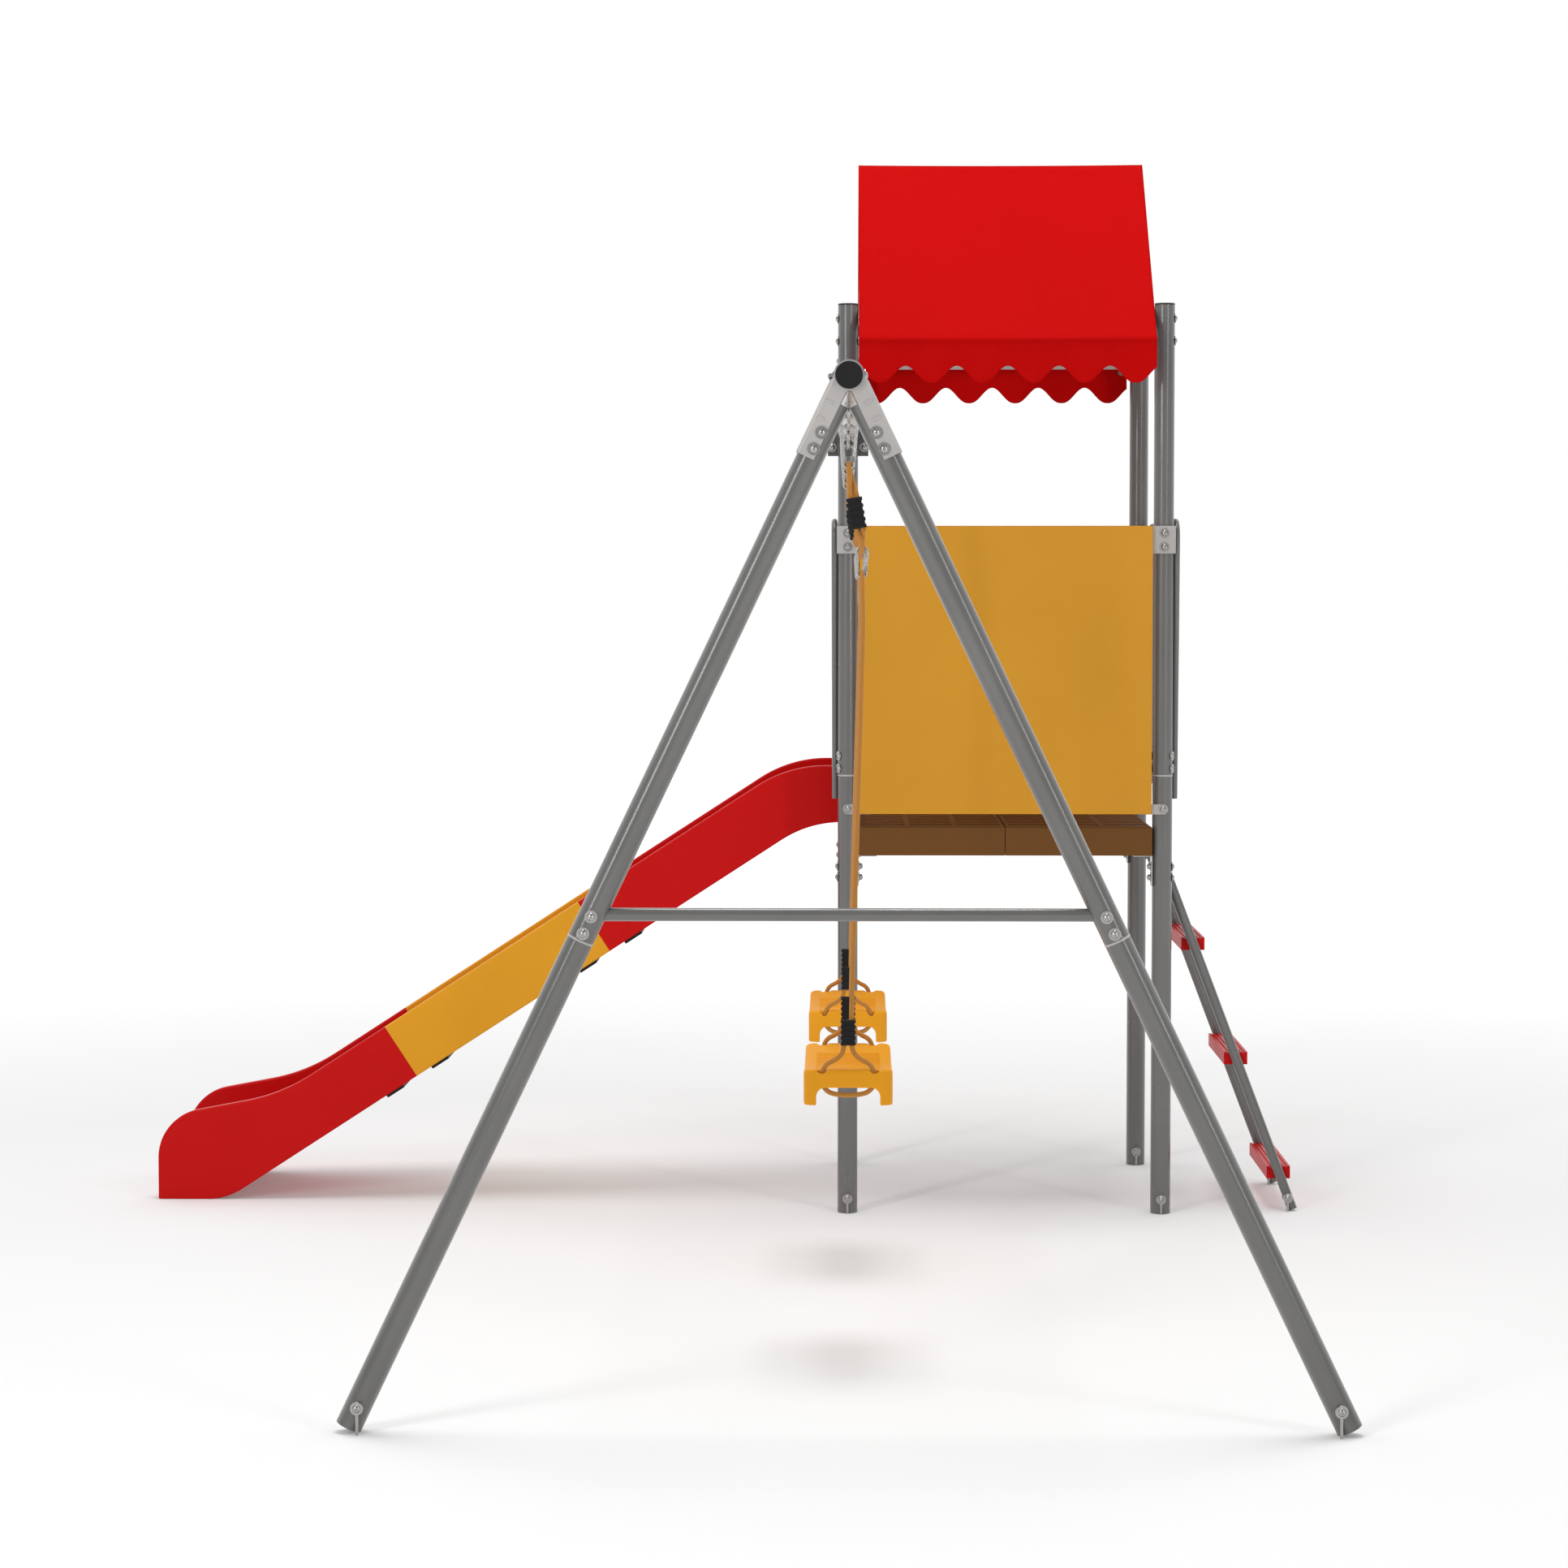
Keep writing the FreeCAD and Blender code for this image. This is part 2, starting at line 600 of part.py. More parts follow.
def build_hoops():
    """Bent tube over each entrance, a leg close beside each post."""
    radius = size("hoop_diameter") / 2
    top_x = half_width + tube_radius + radius + 0.6
    for side, name in ((-1, "slide"), (1, "ladder")):
        points = []
        for y, inward in ((front_y, 1), (back_y, -1)):
            foot = Vector(side * (top_x - 2), y + inward * 20, size("hoop_foot"))
            head = Vector(side * top_x, y + inward * 2, size("hoop_height"))
            points += [foot, head] if inward > 0 else [head, foot]
        keep_shape(bent_tube(points, radius, size("rail_wall"), 45), "entrance_hoop_" + name)


# ---------------------------------------------------------------- roof

ridge_y = (front_y + back_y) / 2
eave_reach = size("tower_depth") / 2 + size("eave_overhang")
roof_half = post_inner_x - 1.5
roof_pitch = math.atan2(size("ridge_height") - size("eave_height"), eave_reach)
bow_drop = rail_radius + 2 + size("fabric_thickness")
bow_x = roof_half - rail_radius - 2
bow_reach = eave_reach - bow_drop
bow_low = size("eave_height") - bow_drop * 1.4
bow_top = size("ridge_height") - bow_drop / math.cos(roof_pitch)
bow_slope = (bow_top - bow_low) / bow_reach


def build_canopy():
    """Fabric roof: two slopes over a ridge, with a scalloped valance along each eave."""
    cloth = size("fabric_thickness")
    eave = size("eave_height")
    ridge = size("ridge_height")
    low = eave - size("valance_drop")
    start = Vector(-roof_half, 0, 0)

    def spot(y, z):
        return start + Vector(0, ridge_y + y, z)

    slope_drop = cloth / math.cos(roof_pitch)
    outline = [
        spot(-eave_reach, low), spot(-eave_reach, eave), spot(0, ridge), spot(eave_reach, eave),
        spot(eave_reach, low), spot(eave_reach - cloth, low), spot(eave_reach - cloth, eave - slope_drop),
        spot(0, ridge - slope_drop), spot(-eave_reach + cloth, eave - slope_drop),
        spot(-eave_reach + cloth, low),
    ]
    canopy = prism(outline, X_AXIS * (2 * roof_half))
    pitch = size("scallop_pitch")
    depth = size("scallop_depth")
    notch_radius = (pitch * pitch / 16 + depth * depth / 4) / depth
    count = int(roof_half / pitch)
    for k in range(-count, count + 1):
        center = Vector(k * pitch, ridge_y - eave_reach - 10, low + depth - notch_radius)
        canopy = canopy.cut(cylinder(center, Y_AXIS, notch_radius, 2 * eave_reach + 20))
    keep_shape(canopy, "canopy")


def build_roof_frame():
    """Bent rafters, bolted to the posts, with the ridge and eave bars between them."""
    for side, name in ((-1, "left"), (1, "right")):
        points = [
            Vector(side * bow_x, ridge_y - bow_reach, bow_low), Vector(side * bow_x, ridge_y, bow_top),
            Vector(side * bow_x, ridge_y + bow_reach, bow_low),
        ]
        keep_shape(bent_tube(points, rail_radius, size("rail_wall"), 40), "roof_bow_" + name)
    inside = bow_x - rail_radius - size("slip_gap")
    bars = []
    eave_bar = bow_reach - 24
    for y, z in ((0, bow_top - 14), (-eave_bar, bow_low + 20), (eave_bar, bow_low + 20)):
        start = Vector(-inside, ridge_y + y, z)
        bar = cylinder(start, X_AXIS, rail_radius, 2 * inside)
        bars.append(bar.cut(cylinder(start, X_AXIS, rail_radius - size("rail_wall"), 2 * inside)))
    keep_shape(Part.makeCompound(bars), "roof_bars")


# ---------------------------------------------------------------- slide

slope = math.radians(size("slide_angle"))
slide_near = front_y + size("slide_offset")
slide_top_x = -post_inner_x + 4
deck_line = size("deck_top") + 1.5
flat_end_x = -half_width - 100
rise_start_x = flat_end_x - deck_line / math.tan(slope)


def slide_side(points, radii):
    """Closed side view of the slide in the plane of its near wall, with rounded corners."""
    spots = [Vector(x, slide_near, z) for x, z in points]
    return Part.Face(rounded_path(spots, radii, closed=True)[0])


def wall_outline():
    """Side view of a whole wall: nose, hump, straight slope, crest and the end on the deck."""
    nose = x_low
    rise = size("slide_depth") / math.cos(slope)
    hump_slope = 0.19
    hump = (nose, 215.0)
    level_gap = hump[1] - hump_slope * nose + math.tan(slope) * rise_start_x - rise
    knee_x = level_gap / (math.tan(slope) - hump_slope)
    crest_z = deck_line + size("slide_depth") - 6
    crest_x = rise_start_x + (crest_z - rise) / math.tan(slope)
    points = [
        (nose, 0), hump, (knee_x, hump[1] + hump_slope * (knee_x - nose)), (crest_x, crest_z),
        (slide_top_x - 10, crest_z), (slide_top_x, deck_line), (flat_end_x, deck_line), (rise_start_x, 0),
    ]
    radii = {0: 4, 1: 128, 2: 480, 3: 330, 4: 58, 5: 3, 6: 287, 7: 169}
    return slide_side(points, radii)


def bed_region(height, far_height):
    """Everything beyond a line that runs at one height above the slide's lower edge."""
    back = height * math.tan(slope / 2)
    points = [
        (x_low - 20, height), (x_low - 20, far_height), (slide_top_x + 20, far_height),
        (slide_top_x + 20, deck_line + height), (flat_end_x - back, deck_line + height),
        (rise_start_x - back, height),
    ]
    return slide_side(points, {0: 1, 1: 1, 2: 1, 3: 1, 4: 287 + height, 5: 169 - height})


def is_rim(edge):
    """True for the long edges along the top of a slide wall."""
    for share in (0.25, 0.5, 0.75):
        spot = edge.valueAt(edge.FirstParameter + share * (edge.LastParameter - edge.FirstParameter))
        over_slope = (spot.x - rise_start_x) * math.tan(slope)
        base = min(max(over_slope, 0), deck_line)
        if spot.z < base + size("slide_bed") * 1.6 + 8:
            return False
    return True


def build_slide():
    """Moulded chute with hollow walls, open below, in three sections."""
    width = size("slide_width")
    wall = size("slide_wall_width")
    skin = size("slide_skin")
    outline = wall_outline()
    chute = outline.extrude(Y_AXIS * width)
    inside = bed_region(size("slide_bed"), 2000).extrude(Y_AXIS * (width - 2 * wall))
    chute = chute.cut(inside.translated(Y_AXIS * wall))
    rims = [edge for edge in chute.Edges
            if edge.Length > 60 and abs(edge.tangentAt(edge.FirstParameter).y) < 0.01 and is_rim(edge)]
    chute = chute.makeFillet(skin, rims)
    under = bed_region(size("slide_bed") - skin, -400).extrude(Y_AXIS * (width - 2 * wall))
    chute = chute.cut(under.translated(Y_AXIS * wall))
    void = outline.makeOffset2D(-skin).extrude(Y_AXIS * (wall - 2 * skin))
    for y in (skin, width - wall + skin):
        chute = chute.cut(void.translated(Vector(0, y, -skin * 1.6)))
    along_slope = Vector(math.cos(slope), 0, math.sin(slope))
    across = Vector(-math.sin(slope), 0, math.cos(slope))
    start = Vector(rise_start_x, 0, 0)
    seams = [597.0, 597.0 + size("slide_middle_length")]
    limits = [-1500.0, seams[0], seams[1], 3000.0]
    names = ["bottom", "middle", "top"]
    half_gap = size("slide_seam_gap") / 2
    for k, name in enumerate(names):
        low = start + along_slope * (limits[k] + half_gap) - across * 900
        high = start + along_slope * (limits[k + 1] - half_gap) - across * 900
        cutter = [low, high, high + across * 2200, low + across * 2200]
        slab = prism([Vector(p.x, slide_near - 10, p.z) for p in cutter], Y_AXIS * (width + 20))
        keep_shape(chute.common(slab), "slide_section_" + name)
    clips = []
    for distance in (seams[0] - 70, seams[0] + 70, seams[1] - 70, seams[1] + 70):
        foot = start + along_slope * distance
        clip = box(Vector(-26, slide_near + 6, -7), Vector(26, slide_near + width - 6, -size("slip_gap")))
        low_edges = [edge for edge in clip.Edges if edge.Length > width - 20 and edge.CenterOfMass.z < -2]
        clip = clip.makeFillet(2.5, low_edges)
        clip.Placement = Placement(foot, Rotation(Y_AXIS, -size("slide_angle")))
        clips.append(clip)
    keep_shape(Part.makeCompound(clips), "slide_clips")


# ---------------------------------------------------------------- ladder

ladder_x = x_high - rail_radius * math.cos(math.radians(20.7))
ladder_foot = Vector(ladder_x, 0, rail_radius * math.sin(math.radians(20.7)))
ladder_head = Vector(half_width - 12, 0, size("ladder_rise"))


def ladder_point(height):
    share = (height - ladder_foot.z) / (ladder_head.z - ladder_foot.z)
    return ladder_foot + (ladder_head - ladder_foot) * share


def build_ladder():
    near = front_y + size("ladder_offset")
    rows = (("front", near), ("back", near + size("ladder_width")))
    length = (ladder_head - ladder_foot).Length
    for name, y in rows:
        start = ladder_foot + Y_AXIS * y
        tube("ladder_stringer_" + name, along(start, ladder_head + Y_AXIS * y), str(length),
             "Sizes.rail_diameter / 2", "Sizes.rail_wall")
    tread_length = "Sizes.ladder_width - Sizes.rail_diameter - 2 * Sizes.slip_gap"
    names = ["bottom", "middle", "top"]
    for k, name in enumerate(names):
        label = "ladder_tread_" + name
        top = size("lowest_tread") + k * size("tread_step")
        middle = ladder_point(top - size("tread_thickness") / 2)
        body = slab_body(label, "Sizes.tread_depth", tread_length, "Sizes.tread_thickness")
        for groove in range(5):
            tag = f"{label}_groove_{groove}"
            low_x = f"Sizes.tread_depth * ({groove} + 0.75) / 6"
            outline = rectangle_sketch(body, "XY_Plane", tag, low_x, "-1", "Sizes.tread_depth / 12",
                                       tread_length + " + 2")
            outline.AttachmentOffset = Placement(Vector(0, 0, size("tread_thickness")), Rotation())
            extrude_sketch(body, "Pocket", outline, tag + "_cut", "2.5")
        corner = Vector(middle.x - size("tread_depth") / 2,
                        near + rail_radius + size("slip_gap"), top - size("tread_thickness"))
        keep(body, label, Placement(corner, Rotation()))


# ---------------------------------------------------------------- feet and fasteners

def anchor(spot):
    """Ground anchor: a loop round the foot bolt with a rod down to the ground."""
    loop = Part.makeTorus(9.5, 3.0, spot, Y_AXIS)
    rod = cylinder(Vector(spot.x, spot.y, 0), Z_AXIS, 3.0, spot.z - 9.5)
    return loop.fuse(rod)


def foot_bolts():
    """Seat of each foot bolt on the swing side: place and through length."""
    height = 38.0
    seats = [(Vector(x, y - tube_radius, height), size("tube_diameter")) for name, x, y in post_spots()]
    for side in (-1, 1):
        down = APEX + leg_axis(side) * (leg_length - 44)
        seats.append((Vector(down.x, -tube_radius, down.z), size("tube_diameter")))
    near = front_y + size("ladder_offset")
    for y in (near, near + size("ladder_width")):
        spot = ladder_point(34)
        seats.append((Vector(spot.x - 2, y - rail_radius, spot.z), size("rail_diameter")))
    return seats


def build_feet():
    anchors = []
    for seat, grip in foot_bolts():
        anchors.append(anchor(Vector(seat.x, seat.y - 3.6, seat.z)))
    keep_shape(Part.makeCompound(anchors), "ground_anchors")


def build_bolts():
    frame = []
    through = size("tube_diameter")
    for side in (-1, 1):
        for distance in (117.6, 151.0):
            spot = APEX + leg_axis(side) * distance
            gap = size("slip_gap") + size("sheet_steel")
            frame.append(bolt(Vector(spot.x, -tube_radius - gap, spot.z), Y_AXIS, through + 2 * gap))
        for distance in (size("leg_seam") - 50, size("leg_seam") - 15):
            spot = APEX + leg_axis(side) * distance
            frame.append(bolt(Vector(spot.x, -tube_radius, spot.z), Y_AXIS, through))
    for y in (-size("beam_bolt_reach"), size("beam_bolt_reach")):
        reach = tube_radius + size("slip_gap") + size("ring_steel")
        frame.append(bolt(Vector(beam_x + reach, y, APEX.z), X_AXIS * -1, 2 * reach))
    for seat, grip in foot_bolts():
        start = Vector(seat.x, seat.y - 7.2, seat.z)
        frame.append(bolt(start, Y_AXIS, grip + 7.2))
    keep_shape(Part.makeCompound(frame), "frame_bolts")
    tower = []
    steel = size("sheet_steel")
    for x_side in (-1, 1):
        for height in (size("beam_height") - 34, size("beam_height") + 34):
            x = beam_x + x_side * (tube_radius + 16)
            tower.append(bolt(Vector(x, front_y - 4.5, height), Y_AXIS, 9.0))
    for name, x, y in post_spots():
        side = math.copysign(1, x)
        outward = -1 if y == front_y else 1
        face = y + outward * (tube_radius + steel)
        reach = size("tube_diameter") + steel
        for height in (size("panel_bottom") + size("panel_height") - 18,
                       size("panel_bottom") + size("panel_height") - 53, size("panel_bottom") + 12):
            tower.append(bolt(Vector(x, face, height), Y_AXIS * -outward, reach))
        diagonal = Vector(side, outward * 0.45, 0).normalize()
        for height in (size("post_seam") + 18, size("post_seam") + 50):
            start = Vector(x, y, height) + diagonal * tube_radius
            tower.append(bolt(start, diagonal * -1, through))
        for height in (size("deck_top") - 100, size("deck_top") - 128):
            start = Vector(x + side * tube_radius, y, height)
            tower.append(bolt(start, X_AXIS * -side, through + steel + size("slip_gap")))
        bow_height = bow_low + (bow_reach - size("tower_depth") / 2) * bow_slope
        bow_face = half_width + tube_radius - bow_x + rail_radius
        for height, grip in ((bow_height, bow_face), (size("post_height") - 90, through)):
            start = Vector(x + side * tube_radius, y, height)
            tower.append(bolt(start, X_AXIS * -side, grip))
    keep_shape(Part.makeCompound(tower), "tower_bolts")


# ---------------------------------------------------------------- swings

rope_radius = size("rope_diameter") / 2
pivot_z = size("beam_height") - size("pivot_drop")
LINK = {"wire": 3.5, "top": 16.0, "bottom": 9.0, "height": 103.0}
HOOK = {"wire": 2.5, "top": 11.0, "bottom": 8.0, "height": 60.0}
HOOK_SHIFT = 27.0
HOOK_TOP = 1675.5
GRIP = 12.4


def snap_hook(top, shape):
    """Pear-shaped hook hanging from top, the highest point of its wire, and its gate and pin."""
    wire = shape["wire"]
    wide = shape["top"]
    narrow = shape["bottom"]
    low = top.z - shape["height"]
    pin = Vector(top.x + narrow + 0.6, top.y, low + narrow + 10)
    nose = Vector(top.x + wide, top.y, top.z - wide - 8)
    points = [
        pin - Z_AXIS * 5, Vector(top.x + narrow, top.y, low), Vector(top.x - narrow, top.y, low),
        Vector(top.x - wide * 1.075, top.y, top.z), Vector(top.x + wide, top.y, top.z), nose,
    ]
    radii = {1: narrow * 0.85, 2: narrow * 0.95, 3: wide * 0.99, 4: wide * 0.99}
    body = sweep(rounded_path(points, radii)[0], points, wire)
    cheek = wire * 0.5
    overlap = 0.2
    for y in (-wire - cheek, wire - overlap):
        low_corner = Vector(pin.x - wire * 0.8, top.y + y, pin.z - 9)
        body = body.fuse(box(low_corner, low_corner + Vector(wire * 1.6, cheek + overlap, 12)))
    across = Y_AXIS * (wire + cheek)
    body = body.fuse(cylinder(pin - Z_AXIS * 7.5 - across, Y_AXIS, wire * 0.7, 2 * across.Length))
    body = body.fuse(cylinder(pin - across, Y_AXIS, 1.2, 2 * across.Length))
    heading = (nose - pin).normalize()
    gate_radius = wire - 0.4
    gate = cylinder(pin - heading * 1.5, heading, gate_radius, (nose - pin).Length + 1.5 - 1.2)
    gate = gate.cut(cylinder(pin - Y_AXIS * 10, Y_AXIS, 1.25, 20))
    return body, gate, pin


def hanger(x, y):
    """Eye bolt through the beam, with its nuts and washers."""
    top = size("beam_height") + tube_radius
    bottom = size("beam_height") - tube_radius
    eye_center = Vector(x, y, pivot_z + LINK["top"] + 3.0)
    eye = Part.makeTorus(10.5, 3.5, eye_center, X_AXIS)
    shank = cylinder(eye_center + Z_AXIS * 10.5, Z_AXIS, 4.0, top + 18 - eye_center.z - 10.5)
    nuts = []
    for z, way in ((bottom, -1), (top, 1)):
        nuts.append(cylinder(Vector(x, y, z), Z_AXIS * way, 11.0, 1.6))
        face = Vector(x, y, z + way * 1.6)
        nuts.append(hexagon(face, Z_AXIS * way, size("nut_width"), size("nut_height") - 1))
    need_hole(Vector(x, y, bottom), Z_AXIS, size("tube_diameter"))
    return eye.fuse(shank).multiFuse(nuts)


def sling_frame():
    """The two wires that the sling hangs between, and the unit vectors along and across it."""
    top = Vector(0, 0, pivot_z + LINK["top"] - LINK["height"])
    bottom = Vector(HOOK_SHIFT, 0, HOOK_TOP)
    down = (bottom - top).normalize()
    return top, bottom, down, Vector(-down.z, 0, down.x)


def sling_route():
    """Rope loop from the upper hook to the lower one, its ends inside the adjuster."""
    top, bottom, down, across = sling_frame()
    half = 7.0
    over = LINK["wire"] + rope_radius + 0.3
    under = HOOK["wire"] + rope_radius + 0.3
    span = (bottom - top).Length

    def spot(distance, side, y):
        return top + down * distance + across * (side * half) + Y_AXIS * y

    route = [
        spot(96, -1, 0), spot(52, -1, 0), spot(20, -0.25, -over), top + Vector(0, -over, over),
        top + Vector(0, over, over), spot(20, 0.25, over), spot(52, 1, 0), spot(132, 1, 0),
        bottom + Vector(0, under, 12), bottom + Vector(0, under, -under),
        bottom + Vector(0, -under, -under), bottom + Vector(0, -under, 12),
        spot(132, -1, 0), spot(98, -1, 0),
    ]
    radii = {3: over * 0.995, 4: over * 0.995, 9: under * 0.995, 10: under * 0.995}
    return route, radii


def rope_route():
    """Seat rope: sewn eye on the hook, long straight run, clamp, and both holes of one seat end."""
    eye = Vector(HOOK_SHIFT, 0, HOOK_TOP - HOOK["height"])
    over = HOOK["wire"] + rope_radius + 0.3
    half = GRIP / 2
    hole = size("seat_hole_spacing") / 2
    seat = size("seat_top")
    route = [
        eye + Vector(0, 6.2, -56), eye + Vector(0, over, -22), eye + Vector(0, over, over),
        eye + Vector(0, -over, over), eye + Vector(0, -over, -22), eye + Vector(1, -4.4, -62),
        eye + Vector(2, 0, -104), Vector(half + 0.5, 0, seat + 124), Vector(half, 0, seat + 88),
        Vector(half, 0, seat + 40), Vector(half + 18, 0, seat + 22), Vector(hole - 8, 0, seat + 13),
        Vector(hole, 0, seat - 8), Vector(hole - 2, 0, seat - 34), Vector(hole - 22, 0, seat - 50),
    ]
    mirrored = [Vector(-p.x, p.y, p.z) for p in reversed(route[9:])]
    route += mirrored + [Vector(-half - 0.1, 0, seat + 96)]
    return route, {2: over * 0.995, 3: over * 0.995}


def rope_solid(route, radii, place, label):
    """Tube along a route, its radii printed and its volume compared with section times length."""
    points = [p + place for p in route]
    path, used = rounded_path(points, radii)
    solid = sweep(path, points, rope_radius)
    expected = math.pi * rope_radius ** 2 * path.Length
    print(label, "radii", [round(r, 1) for r in used], "length", round(path.Length, 1),
          "volume ratio", round(solid.Volume / expected, 4))
    return solid


def clamp_block(center, height, spacing, turn=0.0):
    """Ladder-shaped rope clamp: two rope holes side by side in a ribbed block."""
    width = spacing + size("rope_diameter") + 8
    depth = size("rope_diameter") + 7
    low_corner = Vector(-width / 2 + 2, -depth / 2 + 1.5, -height / 2)
    block = box(low_corner, low_corner * -1)
    teeth = 5
    pitch = height / (teeth - 0.5)
    for k in range(teeth):
        low = -height / 2 + k * pitch
        tooth = box(Vector(-width / 2, -depth / 2, low), Vector(width / 2, depth / 2, low + pitch / 2))
        block = block.fuse(tooth)
    for side in (-1, 1):
        start = Vector(side * spacing / 2, 0, -height)
        block = block.cut(cylinder(start, Z_AXIS, rope_radius + size("slip_gap"), 2 * height))
    block.Placement = Placement(center, Rotation(Y_AXIS, turn))
    return block


def seat_shape(middle_y):
    """Moulded seat: hollow below with cross ribs, four corner legs, and two rope holes at each end."""
    half_depth = size("seat_depth") / 2
    half_length = size("seat_length") / 2
    top = size("seat_top")
    low = top - size("seat_leg")
    skin = size("seat_skin")
    center = Vector(beam_x, middle_y, 0)
    outer = box(Vector(-half_depth, -half_length, low), Vector(half_depth, half_length, top + 4))
    outer = outer.makeFillet(20.0, [e for e in outer.Edges if abs(e.tangentAt(0).z) > 0.9])
    dip_radius = 1500.0
    dip_center = Vector(-200, 0, top - 12 + dip_radius)
    outer = outer.makeFillet(9.0, [e for e in outer.Edges if e.CenterOfMass.z > top + 3.9])
    outer = outer.cut(cylinder(dip_center, X_AXIS, dip_radius, 400))
    inner = box(Vector(-half_depth + skin, -half_length + skin, low - 1),
                Vector(half_depth - skin, half_length - skin, top + 4 - skin))
    inner = inner.makeFillet(15.0, [e for e in inner.Edges if abs(e.tangentAt(0).z) > 0.9])
    inner = inner.cut(cylinder(dip_center, X_AXIS, dip_radius + skin, 400))
    seat = outer.cut(inner)
    edge = top - size("seat_apron")
    gap_y = half_length - 34
    gap_x = half_depth - 27
    long_gap = box(Vector(-half_depth - 1, -gap_y, low - 1), Vector(half_depth + 1, gap_y, edge))
    end_gap = box(Vector(-gap_x, -half_length - 1, low - 1), Vector(gap_x, half_length + 1, edge))
    for gap, run in ((long_gap, X_AXIS), (end_gap, Y_AXIS)):
        upper = [e for e in gap.Edges if e.CenterOfMass.z > edge - 1 and abs(e.tangentAt(0).dot(run)) > 0.9]
        seat = seat.cut(gap.makeFillet(14.0, upper))
    for k in range(-3, 4):
        y = k * 42.0
        rib = box(Vector(-half_depth + 1, y - 2, edge + 8), Vector(half_depth - 1, y + 2, top - 8))
        seat = seat.fuse(rib.cut(cylinder(dip_center, X_AXIS, dip_radius + skin / 2, 400)))
    for side in (-1, 1):
        for end in (-1, 1):
            spot = Vector(side * size("seat_hole_spacing") / 2, end * size("rope_spacing") / 2, low)
            boss = cylinder(spot + Z_AXIS * (size("seat_leg") - 24), Z_AXIS, rope_radius + 5, 20)
            seat = seat.fuse(boss)
    for side in (-1, 1):
        for end in (-1, 1):
            spot = Vector(side * size("seat_hole_spacing") / 2, end * size("rope_spacing") / 2, low - 5)
            seat = seat.cut(cylinder(spot, Z_AXIS, rope_radius + 1.6, 120))
            mouth = Vector(spot.x, spot.y, top - 14)
            seat = seat.cut(Part.makeCone(rope_radius + 1.6, rope_radius + 7.6, 20, mouth, Z_AXIS))
    return seat.translated(center)


def build_swings():
    hangers = []
    gate_pins = []
    sling, sling_radii = sling_route()
    rope, rope_radii = rope_route()
    top, bottom, down, across = sling_frame()
    tilt = math.degrees(math.atan2(down.x, -down.z))
    for number in (1, 2):
        first = size("swing_first") + (number - 1) * size("swing_pitch")
        hooks = []
        clamps = []
        for end, name in ((0, "front"), (1, "back")):
            y = first + end * size("rope_spacing")
            place = Vector(beam_x, y, 0)
            tag = f"swing_{number}_"
            hangers.append(hanger(beam_x, y))
            for kind, start, shape in (("upper", Vector(beam_x, y, pivot_z + LINK["top"]), LINK),
                                       ("lower", place + Vector(HOOK_SHIFT, 0, HOOK_TOP), HOOK)):
                body, gate, pin = snap_hook(start, shape)
                hooks.append(body)
                if kind == "upper":
                    keep_shape(gate, f"{tag}gate_{name}")
                    gate_pins.append((f"{tag}gate_{name}", pin + origin_shift))
                else:
                    hooks.append(gate.cut(cylinder(pin - Y_AXIS * 10, Y_AXIS, 1.3, 20)))
            keep_shape(rope_solid(sling, sling_radii, place, "sling"), f"{tag}sling_{name}")
            keep_shape(rope_solid(rope, rope_radii, place, "rope"), f"{tag}rope_{name}")
            clamps.append(clamp_block(place + top + down * 92, 62.0, 14.0, -tilt))
            clamps.append(clamp_block(place + Z_AXIS * (size("seat_top") + 77), 51.0, GRIP))
        keep_shape(Part.makeCompound(hooks), f"swing_{number}_hooks")
        keep_shape(Part.makeCompound(clamps), f"swing_{number}_clamps")
        keep_shape(seat_shape(first + size("rope_spacing") / 2), f"swing_{number}_seat")
    keep_shape(Part.makeCompound(hangers), "swing_hangers")
    return gate_pins


# ---------------------------------------------------------------- whole model

build_swing_frame()
build_crossbar()
build_apex_bracket()
build_beam_bracket()
build_posts()
build_caps()
build_deck()
build_panels()
build_tower_brackets()
build_hoops()
build_canopy()
build_roof_frame()
build_slide()
build_ladder()
build_feet()
build_bolts()
pins = build_swings()
doc.recompute()
undrilled = ("frame_bolts", "tower_bolts", "swing_hangers", "ground_anchors")
nodes = [node if node.Label in undrilled else drill(node, bolt_holes) for node in nodes]
doc.recompute()

for obj in doc.Objects:
    if "Invalid" in obj.State or "Error" in obj.State:
        raise RuntimeError(f"{obj.Name} failed: {obj.State}")

os.makedirs("parts", exist_ok=True)
low = Vector(1e9, 1e9, 1e9)
high = Vector(-1e9, -1e9, -1e9)
for obj in nodes:
    if obj.Shape.isNull() or not obj.Shape.isValid():
        raise RuntimeError(f"{obj.Label} has no valid shape")
    obj.Shape.exportStep(f"parts/{obj.Label}.step")
    bounds = obj.Shape.BoundBox
    low = Vector(min(low.x, bounds.XMin), min(low.y, bounds.YMin), min(low.z, bounds.ZMin))
    high = Vector(max(high.x, bounds.XMax), max(high.y, bounds.YMax), max(high.z, bounds.ZMax))
print(len(nodes), "nodes", "from", low, "to", high)
for label, pin in pins:
    print("gate pin", label, pin)
pivot = Vector(beam_x, 0, pivot_z) + origin_shift
print("swing pivot", pivot, "shift", origin_shift)
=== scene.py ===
import json
import math

import bmesh
import bpy
from mathutils import Matrix, Vector


